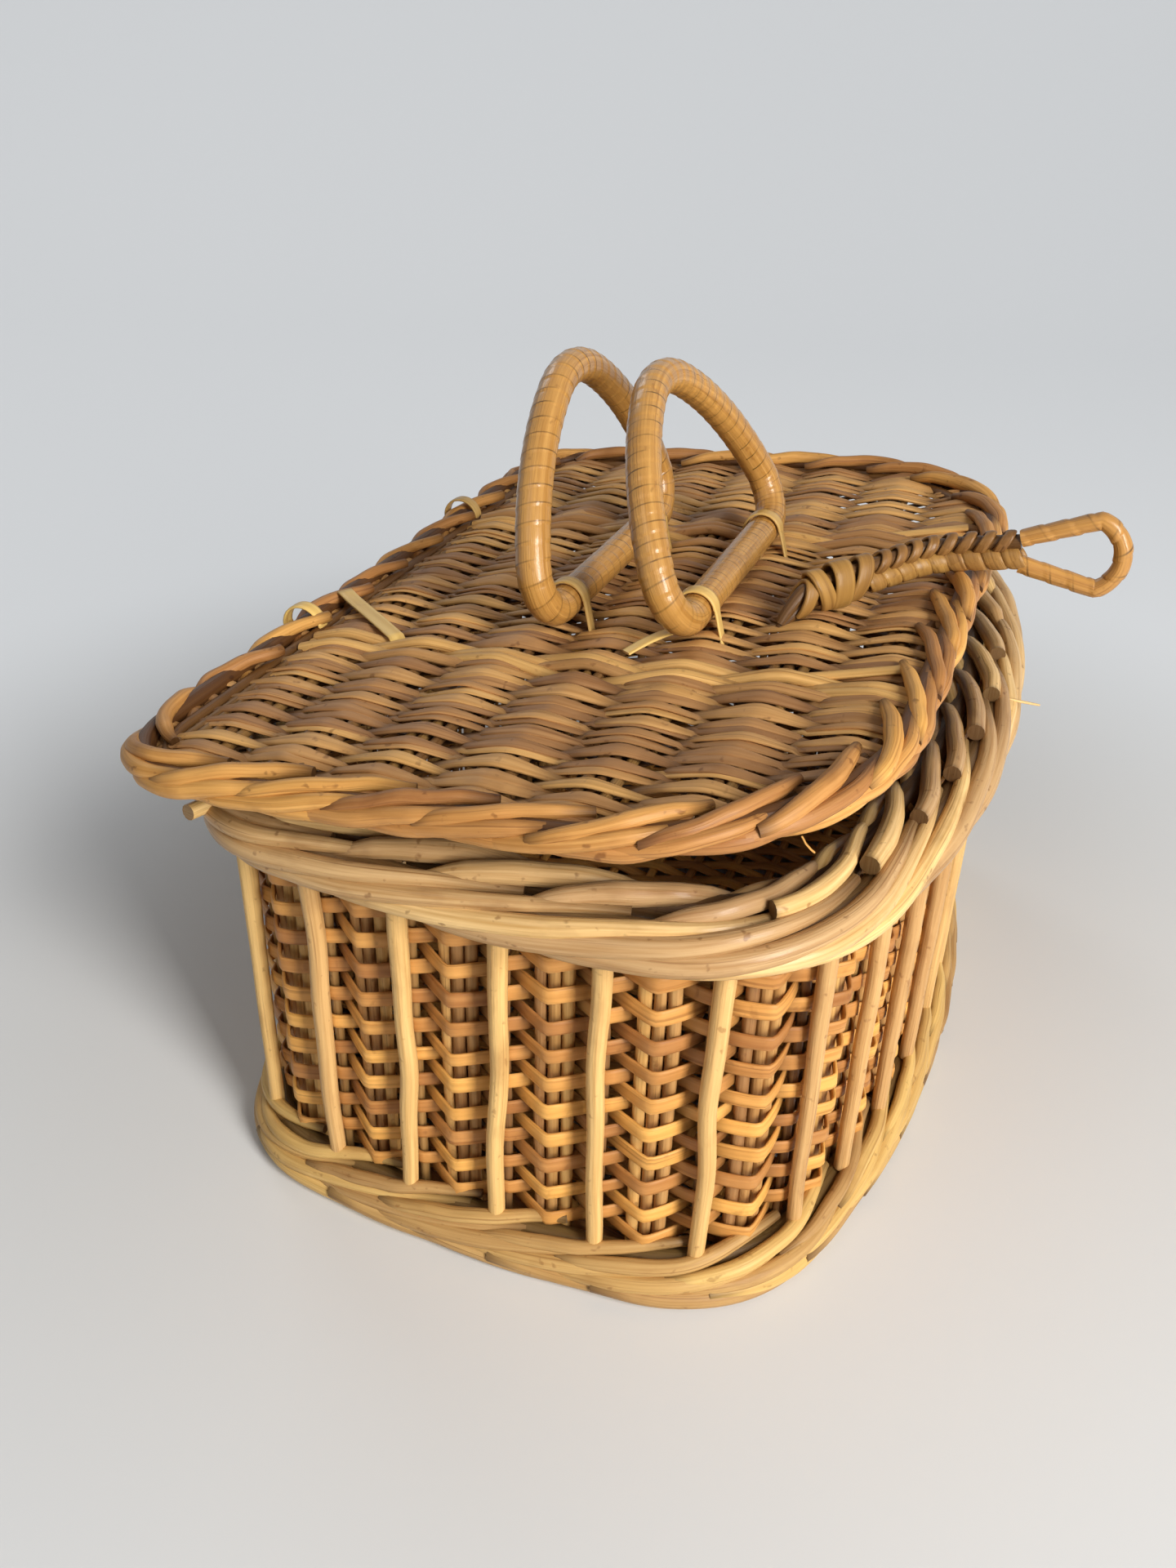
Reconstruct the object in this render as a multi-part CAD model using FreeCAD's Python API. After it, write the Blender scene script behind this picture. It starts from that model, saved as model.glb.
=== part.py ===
import FreeCAD, Part
import math
import os

# A small wicker basket with a hinged lid, two folding handles on the lid and a closure loop at the front.
# Frame: origin on the floor under the middle of the basket, X along its length, -Y to the front, +Z up.
# Lengths are millimetres and angles are degrees.

Vector = FreeCAD.Vector
X_AXIS = Vector(1, 0, 0)
Y_AXIS = Vector(0, 1, 0)
Z_AXIS = Vector(0, 0, 1)

# Plan of the woven wall, measured at the middle of the weave
wall_half_length = 150.5
wall_half_width = 105.0
end_bow_radius = 360.0
side_bow_radius = 400.0
front_corner_radius = 48.0
back_corner_radius = 32.0
wall_height = 137.2

# Wall: groups of thin sticks, hidden by-stakes, pale outer stakes and flat split strips
stake_count = 30
sticks_per_group = 3
stick_diameter = 3.8
stick_gap = 0.3
by_stake_diameter = 3.0
stake_diameter = 5.8
stake_foot_diameter = 5.2
strip_height = 5.0
strip_thickness = 1.2
strip_spans = 3
strip_turn_angle = 30.0
weave_clearance = 0.15
row_gap = 0.3

# Border rods, of the foot and of the rim: the longest length laid, and the most that one length turns
rod_stretch = 68.0
rod_turn_angle = 46.0

# Foot: three rods round the base, flattened where they stand, level with the base
foot_rod_diameter = 8.6
foot_flat = 0.3
foot_overhang = 4.2
base_thickness = 7.0

# Rim: three rods laid round the top of the wall
rim_rod_diameter = 8.8
rim_overhang_gap = 0.5
rim_drop = 7.2

# Lid: a round border, woven panels and two pairing bands; its edges lie past the middle of the wall, and it has
# slid along its hinge towards the near end
lid_end_overhang = 13.0
lid_slide = 8.0
lid_front_overhang = 0.2
lid_back_overhang = 9.6
lid_front_corner_radius = 80.0
lid_back_corner_radius = 36.0
lid_border_diameter = 12.0
lid_group_count = 7
lid_sticks_per_group = 3
lid_stick_diameter = 2.8
lid_group_front_inset = 12.2
lid_group_back_inset = 21.6
weaver_width = 4.6
weaver_thickness = 1.6
weaver_gap = 0.4
pairing_rod_width = 5.0
pairing_half_spacing = 64.0
lid_rest_angle = 5.8

# Ties: flat cane bands round the hinge rod, the handle bars and the hasp
tie_thickness = 1.2
hinge_tie_width = 5.0
hinge_tie_half_spacing = 60.0
handle_tie_width = 5.5
hasp_tie_width = 9.0

# Handles: a bent cane core in a wrapped skin, shaped like a rounded D
handle_core_diameter = 9.2
handle_wrap_thickness = 1.0
handle_wrap_seam = 0.8
handle_bar_half_length = 45.0
handle_corner_radius = 13.0
handle_shoulder_radius = 90.0
handle_top_radius = 34.0
handle_rise = 66.0
handle_tie_inset = 6.0
front_handle_y = -24.0
back_handle_y = 20.0
front_handle_angle = 20.0
back_handle_angle = 8.0

# Hasp: two bound strands on the lid and a teardrop loop past its front edge, placed from that edge
hasp_strand_diameter = 5.2
hasp_x = 15.0
hasp_root_x = -20.0
hasp_root_inset = 49.2
hasp_elbow_inset = 17.2
hasp_bend_radius = 24.0
hasp_axis_reach = 4.8
hasp_joint_radius = 6.4
hasp_binding_thickness = 0.9
hasp_loop_bulb_radius = 11.0
hasp_loop_bulb_reach = 24.0

# Gaps: between moving pieces, between fixed pieces, and past the end of every cut
moving_clearance = 0.3
seat_clearance = 0.2
overrun = 5.0

# Trials that settle the weave's slope
fitting_rounds = 12

# Half sizes and places that follow from the sizes above
stick_radius = stick_diameter / 2
by_stake_radius = by_stake_diameter / 2
stake_radius = stake_diameter / 2
foot_radius = foot_rod_diameter / 2
rim_radius = rim_rod_diameter / 2
border_radius = lid_border_diameter / 2
lid_stick_radius = lid_stick_diameter / 2
handle_core_radius = handle_core_diameter / 2
handle_radius = handle_core_radius + seat_clearance / 2 + handle_wrap_thickness
strand_radius = hasp_strand_diameter / 2
handle_tie_half_spacing = handle_bar_half_length - handle_tie_inset


def save(node, shapes):
    """Write the solids of one node to its own file and print what it holds."""
    solids = [solid for shape in shapes for solid in shape.Solids]
    Part.makeCompound(solids).exportStep(os.path.join("parts", node + ".step"))
    print(node, len(solids), "solids", round(sum(solid.Volume for solid in solids)), "cubic mm")


def circles_meet(first, first_radius, second, second_radius, towards):
    """Point where two circles in a plane cross, on the side that lies furthest towards a direction."""
    span = second - first
    distance = span.Length
    along = (first_radius ** 2 - second_radius ** 2 + distance ** 2) / (2 * distance)
    across = math.sqrt(first_radius ** 2 - along ** 2)
    unit = span / distance
    foot_point = first + unit * along
    side = Vector(-unit.y, unit.x, 0) * across
    return max((foot_point + side, foot_point - side), key=lambda point: point.dot(towards))


def bearing(origin, point):
    """Direction of a point as an angle from +X, in radians."""
    return math.atan2(point.y - origin.y, point.x - origin.x)


# Plan outline: eight tangent arcs, four bowed sides and four corners, counter-clockwise from the +X end
def plan_arcs():
    right = Vector(wall_half_length - end_bow_radius, 0, 0)
    left = Vector(end_bow_radius - wall_half_length, 0, 0)
    back = Vector(0, wall_half_width - side_bow_radius, 0)
    front = Vector(0, side_bow_radius - wall_half_width, 0)

    def corner(side, end, radius, towards):
        return circles_meet(side, side_bow_radius - radius, end, end_bow_radius - radius, towards)

    back_right = corner(back, right, back_corner_radius, Vector(1, 1, 0))
    back_left = corner(back, left, back_corner_radius, Vector(-1, 1, 0))
    front_left = corner(front, left, front_corner_radius, Vector(-1, -1, 0))
    front_right = corner(front, right, front_corner_radius, Vector(1, -1, 0))
    stations = [
        (right, end_bow_radius, front_right, back_right),
        (back_right, back_corner_radius, right, back),
        (back, side_bow_radius, back_right, back_left),
        (back_left, back_corner_radius, back, left),
        (left, end_bow_radius, back_left, front_left),
        (front_left, front_corner_radius, left, front),
        (front, side_bow_radius, front_left, front_right),
        (front_right, front_corner_radius, front, right),
    ]
    arcs = []
    for index, (centre, radius, before, after) in enumerate(stations):
        is_side = index % 2 == 0
        start = bearing(centre, before) if is_side else bearing(before, centre)
        finish = bearing(centre, after) if is_side else bearing(after, centre)
        sweep = (finish - start) % (2 * math.pi)
        arcs.append((centre, radius, start, sweep))
    return arcs


ARCS = plan_arcs()
PERIMETER = sum(radius * sweep for centre, radius, start, sweep in ARCS)
STAKE_PITCH = PERIMETER / stake_count


def plan_place(distance):
    """Point on the outline at a distance along it, with the direction square to the wall."""
    left_over = distance % PERIMETER
    for centre, radius, start, sweep in ARCS:
        if left_over <= radius * sweep:
            break
        left_over -= radius * sweep
    angle = start + left_over / radius
    outward = Vector(math.cos(angle), math.sin(angle), 0)
    return centre + outward * radius, outward


def wall_point(distance, offset, height):
    point, outward = plan_place(distance)
    return point + outward * offset + Z_AXIS * height


def group_reach(sticks, diameter):
    """Distance from the middle of a stick group to the axis of its outermost stick."""
    return (sticks - 1) / 2 * (diameter + stick_gap)


def weave_offsets(span, fall, crest_need, crest_reach, lock_need, lock_reach):
    """How far a strip stands off at each of two crossings in turn, a span apart, to clear what it crosses."""
    crest, lock = crest_need, lock_need
    for trial in range(fitting_rounds):
        slope = (crest + lock + fall) / span
        lengthening = math.sqrt(1 + slope ** 2)
        crest = crest_need * lengthening + slope * crest_reach
        lock = lock_need * lengthening + slope * lock_reach
    return crest, lock


# In the wall, the tightest corner sets how far the strips stand off
half_pitch = STAKE_PITCH / 2
corner_fall = half_pitch ** 2 / (2 * min(front_corner_radius, back_corner_radius))
strip_room = weave_clearance + strip_thickness / 2
crest_offset, lock_offset = weave_offsets(half_pitch, corner_fall, stick_radius + strip_room,
                                          group_reach(sticks_per_group, stick_diameter),
                                          by_stake_radius + strip_room, 0)

# Places that follow from the sizes above
stake_offset = lock_offset + strip_thickness / 2 + seat_clearance + stake_radius
stake_face = stake_offset + stake_radius
foot_outer_offset = stake_face + foot_overhang - foot_radius
foot_inner_offset = foot_outer_offset - foot_rod_diameter - seat_clearance
foot_low_height = foot_radius - foot_flat
foot_high_height = foot_low_height + foot_rod_diameter + seat_clearance
foot_top = foot_high_height + foot_radius
stick_bottom = foot_low_height + foot_radius + moving_clearance
base_offset = foot_inner_offset - foot_radius - seat_clearance

crown_skew = hinge_tie_width / 2 * hinge_tie_half_spacing / side_bow_radius
rim_spacing = rim_rod_diameter + tie_thickness + 2 * (moving_clearance + crown_skew)
rim_crown_height = wall_height + moving_clearance + rim_radius
rim_outer_offset = stake_face + rim_overhang_gap + rim_radius
rim_crown_offset = rim_outer_offset - math.sqrt(rim_spacing ** 2 - rim_drop ** 2)
rim_inner_offset = rim_crown_offset - rim_spacing
rim_outer_height = rim_crown_height - rim_drop
rim_top = rim_crown_height + rim_radius

rows_bottom = foot_top + moving_clearance
rows_top = rim_crown_height - rim_radius - tie_thickness - 2 * moving_clearance
row_count = int((rows_top - rows_bottom) / (strip_height + row_gap))
row_pitch = (rows_top - rows_bottom) / row_count

lid_half_length = wall_half_length + lid_end_overhang
lid_front_reach = wall_half_width + lid_front_overhang
lid_back_reach = wall_half_width + lid_back_overhang
hinge_y = lid_back_reach - border_radius
hinge_z = rim_top + moving_clearance + border_radius
lid_front_y = border_radius - lid_front_reach
lid_end_x = lid_half_length - border_radius
lid_front_bend = lid_front_corner_radius - border_radius
lid_back_bend = lid_back_corner_radius - border_radius
panel_inset = border_radius + seat_clearance
lid_group_front = lid_front_y + lid_group_front_inset
lid_group_pitch = (hinge_y - lid_group_back_inset - lid_group_front) / (lid_group_count - 1)
weaver_need = lid_stick_radius + weave_clearance + weaver_thickness / 2
lid_group_reach = group_reach(lid_sticks_per_group, lid_stick_diameter)
weaver_crest = weave_offsets(lid_group_pitch, 0, weaver_need, lid_group_reach, weaver_need, lid_group_reach)[0]
panel_bottom = rim_top + moving_clearance
lid_middle = panel_bottom + weaver_thickness / 2 + weaver_crest
panel_top = lid_middle + weaver_crest + weaver_thickness / 2
handle_z = panel_top + moving_clearance + handle_radius
hasp_root_z = panel_top + seat_clearance + hasp_binding_thickness + hasp_strand_diameter
hasp_root_y = hasp_root_inset - lid_front_reach
hasp_elbow_y = hasp_elbow_inset - lid_front_reach
hasp_axis_y = -lid_front_reach - hasp_axis_reach
HASP_HEADING = Vector(hasp_x - hasp_root_x, hasp_elbow_y - hasp_root_y, 0).normalize()


# Rods that follow the outline, laid end to end in short lengths
def rod_section(offset_point, outward, radius, height, flat_height):
    """Round section standing square to the rod, cut level where it would pass below the flat height."""
    centre = offset_point + Z_AXIS * height
    tangent = Z_AXIS.cross(outward)
    drop = height - flat_height
    if drop >= radius:
        return Part.Face(Part.Wire(Part.Circle(centre, tangent, radius).toShape()))
    half_chord = math.sqrt(radius ** 2 - drop ** 2)
    low_out = centre + outward * half_chord - Z_AXIS * drop
    low_in = centre - outward * half_chord - Z_AXIS * drop
    over = Part.Arc(low_out, centre + Z_AXIS * radius, low_in).toShape()
    return Part.Face(Part.Wire([over, Part.LineSegment(low_in, low_out).toShape()]))


def outline_rod(offset, height, radius):
    lengths = []
    for centre, bend, start, sweep in ARCS:
        by_length = bend * sweep / rod_stretch
        by_turn = math.degrees(sweep) / rod_turn_angle
        count = math.ceil(max(by_length, by_turn))
        for number in range(count):
            angle = start + sweep * number / count
            outward = Vector(math.cos(angle), math.sin(angle), 0)
            section = rod_section(centre + outward * (bend + offset), outward, radius, height, 0)
            lengths.append(section.revolve(centre, Z_AXIS, math.degrees(sweep) / count))
    return lengths


def outline_plate(offset, bottom, thickness):
    """Flat plate whose edge follows the outline."""
    edges = []
    for centre, bend, start, sweep in ARCS:
        spokes = [Vector(math.cos(start + part), math.sin(start + part), 0) for part in (0, sweep / 2, sweep)]
        points = [centre + spoke * (bend + offset) + Z_AXIS * bottom for spoke in spokes]
        edges.append(Part.Arc(*points).toShape())
    return Part.Face(Part.Wire(edges)).extrude(Z_AXIS * thickness)


# Hinge ties: bands that belt the lid's straight back rod to the rim's crown rod
def belt(first, first_radius, second, second_radius, normal):
    """Outline of a belt stretched round two circles that lie in the plane square to a normal."""
    span = second - first
    unit = span / span.Length
    lean = math.asin((first_radius - second_radius) / span.Length)
    edges = []
    corners = []
    for side in (1, -1):
        square = normal.cross(unit) * side
        spoke = square * math.cos(lean) + unit * math.sin(lean)
        corners.append((first + spoke * first_radius, second + spoke * second_radius))
    (first_a, second_a), (first_b, second_b) = corners
    edges.append(Part.Arc(first_a, first - unit * first_radius, first_b).toShape())
    edges.append(Part.LineSegment(first_b, second_b).toShape())
    edges.append(Part.Arc(second_b, second + unit * second_radius, second_a).toShape())
    edges.append(Part.LineSegment(second_a, first_a).toShape())
    return Part.Wire(edges)


def hinge_tie_places():
    """Rod centres in the plane of each hinge tie."""
    reach = side_bow_radius + rim_crown_offset
    crown_y = wall_half_width - side_bow_radius + math.sqrt(reach ** 2 - hinge_tie_half_spacing ** 2)
    return [(Vector(x, hinge_y, hinge_z), Vector(x, crown_y, rim_crown_height))
            for x in (-hinge_tie_half_spacing, hinge_tie_half_spacing)]


def hinge_tie_band(spare, width):
    """Belts with some room added round them, as solid bars."""
    shift = X_AXIS * (width / 2)
    bars = []
    for rod, crown in hinge_tie_places():
        crown_room = rim_radius + moving_clearance + crown_skew + spare
        face = Part.Face(belt(rod, border_radius + moving_clearance + spare, crown, crown_room, X_AXIS))
        face.translate(-shift)
        bars.append(face.extrude(shift * 2))
    return bars


def hinge_ties():
    outer = hinge_tie_band(tie_thickness, hinge_tie_width)
    inner = hinge_tie_band(0, hinge_tie_width + overrun)
    return [band.cut(hole) for band, hole in zip(outer, inner)]


TIE_ROOM = hinge_tie_band(tie_thickness + seat_clearance, hinge_tie_width + 2 * seat_clearance)


def clear_of_ties(solid):
    """Trim a wall piece where a hinge tie passes it."""
    for room in TIE_ROOM:
        if solid.BoundBox.intersect(room.BoundBox):
            solid = solid.cut(room)
    return solid


# Wall sticks and stakes
def upright(distance, offset, bottom, top, low_radius, high_radius):
    foot_point = wall_point(distance, offset, bottom)
    if low_radius == high_radius:
        return Part.makeCylinder(low_radius, top - bottom, foot_point, Z_AXIS)
    return Part.makeCone(low_radius, high_radius, top - bottom, foot_point, Z_AXIS)


def wall_sticks():
    spacing = stick_diameter + stick_gap
    sticks = []
    for group in range(stake_count):
        middle = (group + 1 / 2) * STAKE_PITCH
        for number in range(sticks_per_group):
            place = middle + (number - (sticks_per_group - 1) / 2) * spacing
            stick = upright(place, 0, stick_bottom, wall_height, stick_radius, stick_radius)
            sticks.append(clear_of_ties(stick))
    return sticks


def by_stakes():
    stakes = []
    for number in range(stake_count):
        place = number * STAKE_PITCH
        stake = upright(place, 0, stick_bottom, wall_height, by_stake_radius, by_stake_radius)
        stakes.append(clear_of_ties(stake))
    return stakes


def outer_stakes():
    stakes = []
    for number in range(stake_count):
        place = number * STAKE_PITCH
        bottom = foot_top + moving_clearance
        stake = upright(place, stake_offset, bottom, wall_height, stake_foot_diameter / 2, stake_radius)
        stakes.append(clear_of_ties(stake))
    return stakes


# Strips: each length is creased over a stick group and locked behind or before the next by-stake
def strip_length(first_stake, spans, bottom, over):
    """One split strip from behind one stake to behind another, a few spans on."""
    sign = 1 if over else -1
    outer, inner = [], []
    for half in range(2 * spans + 1):
        middle = sign * (crest_offset if half % 2 else -lock_offset)
        place = (first_stake + half / 2) * STAKE_PITCH
        outer.append(wall_point(place, middle + strip_thickness / 2, bottom))
        inner.append(wall_point(place, middle - strip_thickness / 2, bottom))
    loop = outer + inner[::-1] + outer[:1]
    return Part.Face(Part.makePolygon(loop)).extrude(Z_AXIS * strip_height)


def strip_stretches():
    """First stake and span count of each length in a row: long along the sides and short round the corners."""
    stretches = []
    first_stake = 0
    while first_stake < stake_count:
        heading = plan_place(first_stake * STAKE_PITCH)[1]
        spans = 1
        while spans < strip_spans and first_stake + spans < stake_count:
            turn = heading.getAngle(plan_place((first_stake + spans + 1) * STAKE_PITCH)[1])
            if math.degrees(turn) > strip_turn_angle:
                break
            spans += 1
        stretches.append((first_stake, spans))
        first_stake += spans
    return stretches


def strip_rows(over):
    lengths = []
    for row in range(0 if over else 1, row_count, 2):
        bottom = rows_bottom + row * row_pitch
        for first_stake, spans in strip_stretches():
            lengths.append(clear_of_ties(strip_length(first_stake, spans, bottom, over)))
    return lengths


# The lid is drawn shut and level, then swung up to its rest angle about the hinge rod
def on_lid(shapes):
    placed = []
    for shape in shapes:
        turned = shape.copy()
        turned.rotate(Vector(0, hinge_y, hinge_z), X_AXIS, -lid_rest_angle)
        placed.append(turned)
    return placed


def bend(centre, radius, start, finish):
    """Level arc about a centre, between two angles."""
    angles = (start, (start + finish) / 2, finish)
    spokes = [Vector(math.cos(math.radians(angle)), math.sin(math.radians(angle)), 0) for angle in angles]
    return Part.Arc(*[centre + spoke * radius for spoke in spokes]).toShape()


def joined(bends):
    """Bends in order, with a straight run from the end of each to the start of the next."""
    chain = [bends[0]]
    for following in bends[1:]:
        tail = chain[-1].lastVertex(True).Point
        chain.append(Part.LineSegment(tail, following.firstVertex(True).Point).toShape())
        chain.append(following)
    return chain


def lid_corners(inset, height):
    """The four corner bends of the lid's border line, moved in by an inset, from back left to back right."""
    back_x = lid_end_x - lid_back_bend
    front_x = lid_end_x - lid_front_bend
    back_y = hinge_y - lid_back_bend
    front_y = lid_front_y + lid_front_bend
    return [
        bend(Vector(-back_x - lid_slide, back_y, height), lid_back_bend - inset, 90, 180),
        bend(Vector(-front_x - lid_slide, front_y, height), lid_front_bend - inset, 180, 270),
        bend(Vector(front_x - lid_slide, front_y, height), lid_front_bend - inset, 270, 360),
        bend(Vector(back_x - lid_slide, back_y, height), lid_back_bend - inset, 0, 90),
    ]


def pipe(edges, radius):
    """Round rod along a chain of tangent edges."""
    start = edges[0].firstVertex(True).Point
    direction = edges[0].tangentAt(edges[0].FirstParameter)
    section = Part.Wire(Part.Circle(start, direction, radius).toShape())
    return Part.Wire(edges).makePipeShell([section], True, False)


def lid_border():
    return [pipe(joined(lid_corners(0, hinge_z)), border_radius)]


def lid_hinge_rod():
    half = lid_end_x - lid_back_bend
    return [Part.makeCylinder(border_radius, 2 * half, Vector(-half - lid_slide, hinge_y, hinge_z), X_AXIS)]


def lid_room():
    """Space inside the border that the weave may fill, clear of the ties."""
    edges = joined(lid_corners(panel_inset, panel_bottom - overrun))
    tail = edges[-1].lastVertex(True).Point
    head = edges[0].firstVertex(True).Point
    outline = Part.Wire(edges + [Part.LineSegment(tail, head).toShape()])
    depth = panel_top - panel_bottom + 2 * overrun
    room = Part.Face(outline).extrude(Z_AXIS * depth)
    reach = border_radius + moving_clearance + tie_thickness + 2 * moving_clearance
    width = hinge_tie_width + 2 * moving_clearance
    for side in (-1, 1):
        corner = Vector(side * hinge_tie_half_spacing - width / 2, hinge_y - reach, panel_bottom - overrun)
        room = room.cut(Part.makeBox(width, reach, depth, corner))
    for band in tie_rooms():
        room = room.cut(band)
    return room


def lid_group_y(number):
    return lid_group_front + number * lid_group_pitch


def lid_sticks(room):
    """Thin sticks along the lid, in groups, fitted inside its border."""
    spacing = lid_stick_diameter + stick_gap
    sticks = []
    for group in range(lid_group_count):
        for number in range(lid_sticks_per_group):
            place = lid_group_y(group) + (number - (lid_sticks_per_group - 1) / 2) * spacing
            start = Vector(-lid_half_length - lid_slide, place, lid_middle)
            sticks.append(Part.makeCylinder(lid_stick_radius, 2 * lid_half_length, start, X_AXIS).common(room))
    return sticks


def lid_weaver(room, start_x, width, over_first):
    """Weaver across the lid, creased over one stick group and under the next."""
    sign = 1 if over_first else -1
    upper, lower = [], []
    for number in range(-1, lid_group_count + 1):
        height = lid_middle + sign * (-1) ** number * weaver_crest
        upper.append(Vector(start_x, lid_group_y(number), height + weaver_thickness / 2))
        lower.append(Vector(start_x, lid_group_y(number), height - weaver_thickness / 2))
    profile = Part.Face(Part.makePolygon(upper + lower[::-1] + upper[:1]))
    return profile.extrude(X_AXIS * width).common(room)


def lid_weavers(room, start_x, finish_x):
    """Weavers side by side that fill the lid between two places along it, each opposite to the last."""
    length = finish_x - start_x
    count = int(length / (weaver_width + weaver_gap))
    pitch = length / count
    return [lid_weaver(room, start_x + number * pitch + weaver_gap / 2, pitch - weaver_gap, number % 2 == 0)
            for number in range(count)]


def pairing_rods(room, middle_x):
    """Two stouter weavers side by side, one over each group that the other goes under."""
    left = middle_x - pairing_rod_width - seat_clearance / 2
    right = middle_x + seat_clearance / 2
    return [lid_weaver(room, left, pairing_rod_width, False), lid_weaver(room, right, pairing_rod_width, True)]


# Ties through the lid: closed bands over a bar, down two slots and together under the panel
def stadium(centre_y, centre_z, radius, bottom):
    """Outline of a band, round over a bar and square below, in the plane x = 0."""
    left = Vector(0, centre_y - radius, centre_z)
    right = Vector(0, centre_y + radius, centre_z)
    low_left = Vector(0, centre_y - radius, bottom)
    low_right = Vector(0, centre_y + radius, bottom)
    edges = [
        Part.Arc(left, Vector(0, centre_y, centre_z + radius), right).toShape(),
        Part.LineSegment(right, low_right).toShape(),
        Part.LineSegment(low_right, low_left).toShape(),
        Part.LineSegment(low_left, left).toShape(),
    ]
    return Part.Face(Part.Wire(edges))


def tie_band(centre_y, centre_z, inner_radius, width, spare):
    """Band round a bar, with some room added on both faces and both edges."""
    low = panel_bottom - seat_clearance
    outer = stadium(centre_y, centre_z, inner_radius + tie_thickness + spare, low - tie_thickness - spare)
    inner = stadium(centre_y, centre_z, inner_radius - spare, low + spare)
    shift = X_AXIS * (width / 2 + spare)
    profile = outer.cut(inner)
    profile.translate(-shift)
    return profile.extrude(shift * 2)


def handle_tie_set(bar_y, spare):
    bands = []
    for side in (-1, 1):
        band = tie_band(bar_y, handle_z, handle_radius + moving_clearance, handle_tie_width, spare)
        band.translate(X_AXIS * (side * handle_tie_half_spacing))
        bands.append(band)
    return bands


def hasp_tie(spare):
    """Band that sews the hasp's root to the lid, turned square to the strands."""
    inner_radius = strand_radius + hasp_binding_thickness + seat_clearance
    band = tie_band(0, hasp_root_z + strand_radius, inner_radius, hasp_tie_width, spare)
    band.rotate(Vector(0, 0, 0), Z_AXIS, math.degrees(bearing(Vector(0, 0, 0), HASP_HEADING)))
    band.translate(Vector(hasp_root_x, hasp_root_y, 0) + HASP_HEADING * hasp_tie_width)
    return band


def tie_rooms():
    rooms = handle_tie_set(front_handle_y, seat_clearance) + handle_tie_set(back_handle_y, seat_clearance)
    return rooms + [hasp_tie(seat_clearance)]


# Handles: drawn upright in the plane y = 0 with the bar's axis through the origin, then leaned and placed
def handle_line():
    """Centre line of the D: half the bar, a corner, a shoulder, the top, and the same again."""
    corner = Vector(handle_bar_half_length, handle_corner_radius, 0)
    top = Vector(0, handle_rise - handle_top_radius, 0)
    shoulder = circles_meet(corner, handle_shoulder_radius - handle_corner_radius,
                            top, handle_shoulder_radius - handle_top_radius, Vector(-1, -1, 0))
    corner_end = bearing(shoulder, corner)
    shoulder_end = bearing(shoulder, top)

    def arc(centre, radius, start, finish):
        angles = (start, (start + finish) / 2, finish)
        points = [Vector(centre.x + radius * math.cos(angle), 0, centre.y + radius * math.sin(angle))
                  for angle in angles]
        return Part.Arc(*points).toShape()

    half_turn = math.pi
    quarter_turn = math.pi / 2
    mirrored_corner = Vector(-corner.x, corner.y, 0)
    mirrored_shoulder = Vector(-shoulder.x, shoulder.y, 0)
    seam = handle_wrap_seam / 2
    bar = handle_bar_half_length
    return [
        Part.LineSegment(Vector(seam, 0, 0), Vector(bar, 0, 0)).toShape(),
        arc(corner, handle_corner_radius, -quarter_turn, corner_end),
        arc(shoulder, handle_shoulder_radius, corner_end, shoulder_end),
        arc(top, handle_top_radius, shoulder_end, half_turn - shoulder_end),
        arc(mirrored_shoulder, handle_shoulder_radius, half_turn - shoulder_end, half_turn - corner_end),
        arc(mirrored_corner, handle_corner_radius, half_turn - corner_end, half_turn + quarter_turn),
        Part.LineSegment(Vector(-bar, 0, 0), Vector(-seam, 0, 0)).toShape(),
    ]


def placed_handle(shape, bar_y, lean):
    shape.rotate(Vector(0, 0, 0), X_AXIS, -lean)
    shape.translate(Vector(0, bar_y, handle_z))
    return shape


def handle_core(bar_y, lean):
    return [placed_handle(pipe(handle_line(), handle_core_radius), bar_y, lean)]


def handle_wrap(bar_y, lean):
    outer = pipe(handle_line(), handle_radius)
    bore = pipe(handle_line(), handle_core_radius + seat_clearance / 2)
    return [placed_handle(outer.cut(bore), bar_y, lean)]


# Hasp: drawn level in plan, then tipped up about its root so that it just clears the lid's border
def hasp_tilt():
    """Rise of the hasp, in degrees, from the reach it needs above the middle of the border."""
    reach = border_radius + seat_clearance + hasp_binding_thickness + hasp_strand_diameter
    height = hasp_root_z - hinge_z
    run = hasp_root_y - lid_front_y
    return math.degrees(math.asin(reach / math.hypot(height, run)) - math.atan2(height, run))


def tipped(shape):
    shape.rotate(Vector(0, hasp_root_y, hasp_root_z), X_AXIS, -hasp_tilt())
    return shape


def hasp_axis_point():
    """Middle of the axis that the loop bends about."""
    run = hasp_root_y - hasp_axis_y
    tilt = math.radians(hasp_tilt())
    return Vector(hasp_x, hasp_root_y - run * math.cos(tilt), hasp_root_z + run * math.sin(tilt))


def hasp_line(root_trim, end_y, lift):
    """Level line of the hasp: a slanting run from the root, a bend, and a run straight out past the border."""
    height = Z_AXIS * (hasp_root_z + lift)
    elbow = Vector(hasp_x, hasp_elbow_y, 0)
    turn = math.acos(HASP_HEADING.dot(-Y_AXIS))
    setback = hasp_bend_radius * math.tan(turn / 2)
    first = elbow - HASP_HEADING * setback
    last = elbow - Y_AXIS * setback
    inside = -Y_AXIS - HASP_HEADING
    inside.normalize()
    middle = elbow + inside * (hasp_bend_radius / math.cos(turn / 2) - hasp_bend_radius)
    start = Vector(hasp_root_x, hasp_root_y, 0) + HASP_HEADING * root_trim
    end = Vector(hasp_x, end_y, 0)
    return [
        Part.LineSegment(start + height, first + height).toShape(),
        Part.Arc(first + height, middle + height, last + height).toShape(),
        Part.LineSegment(last + height, end + height).toShape(),
    ]


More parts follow.
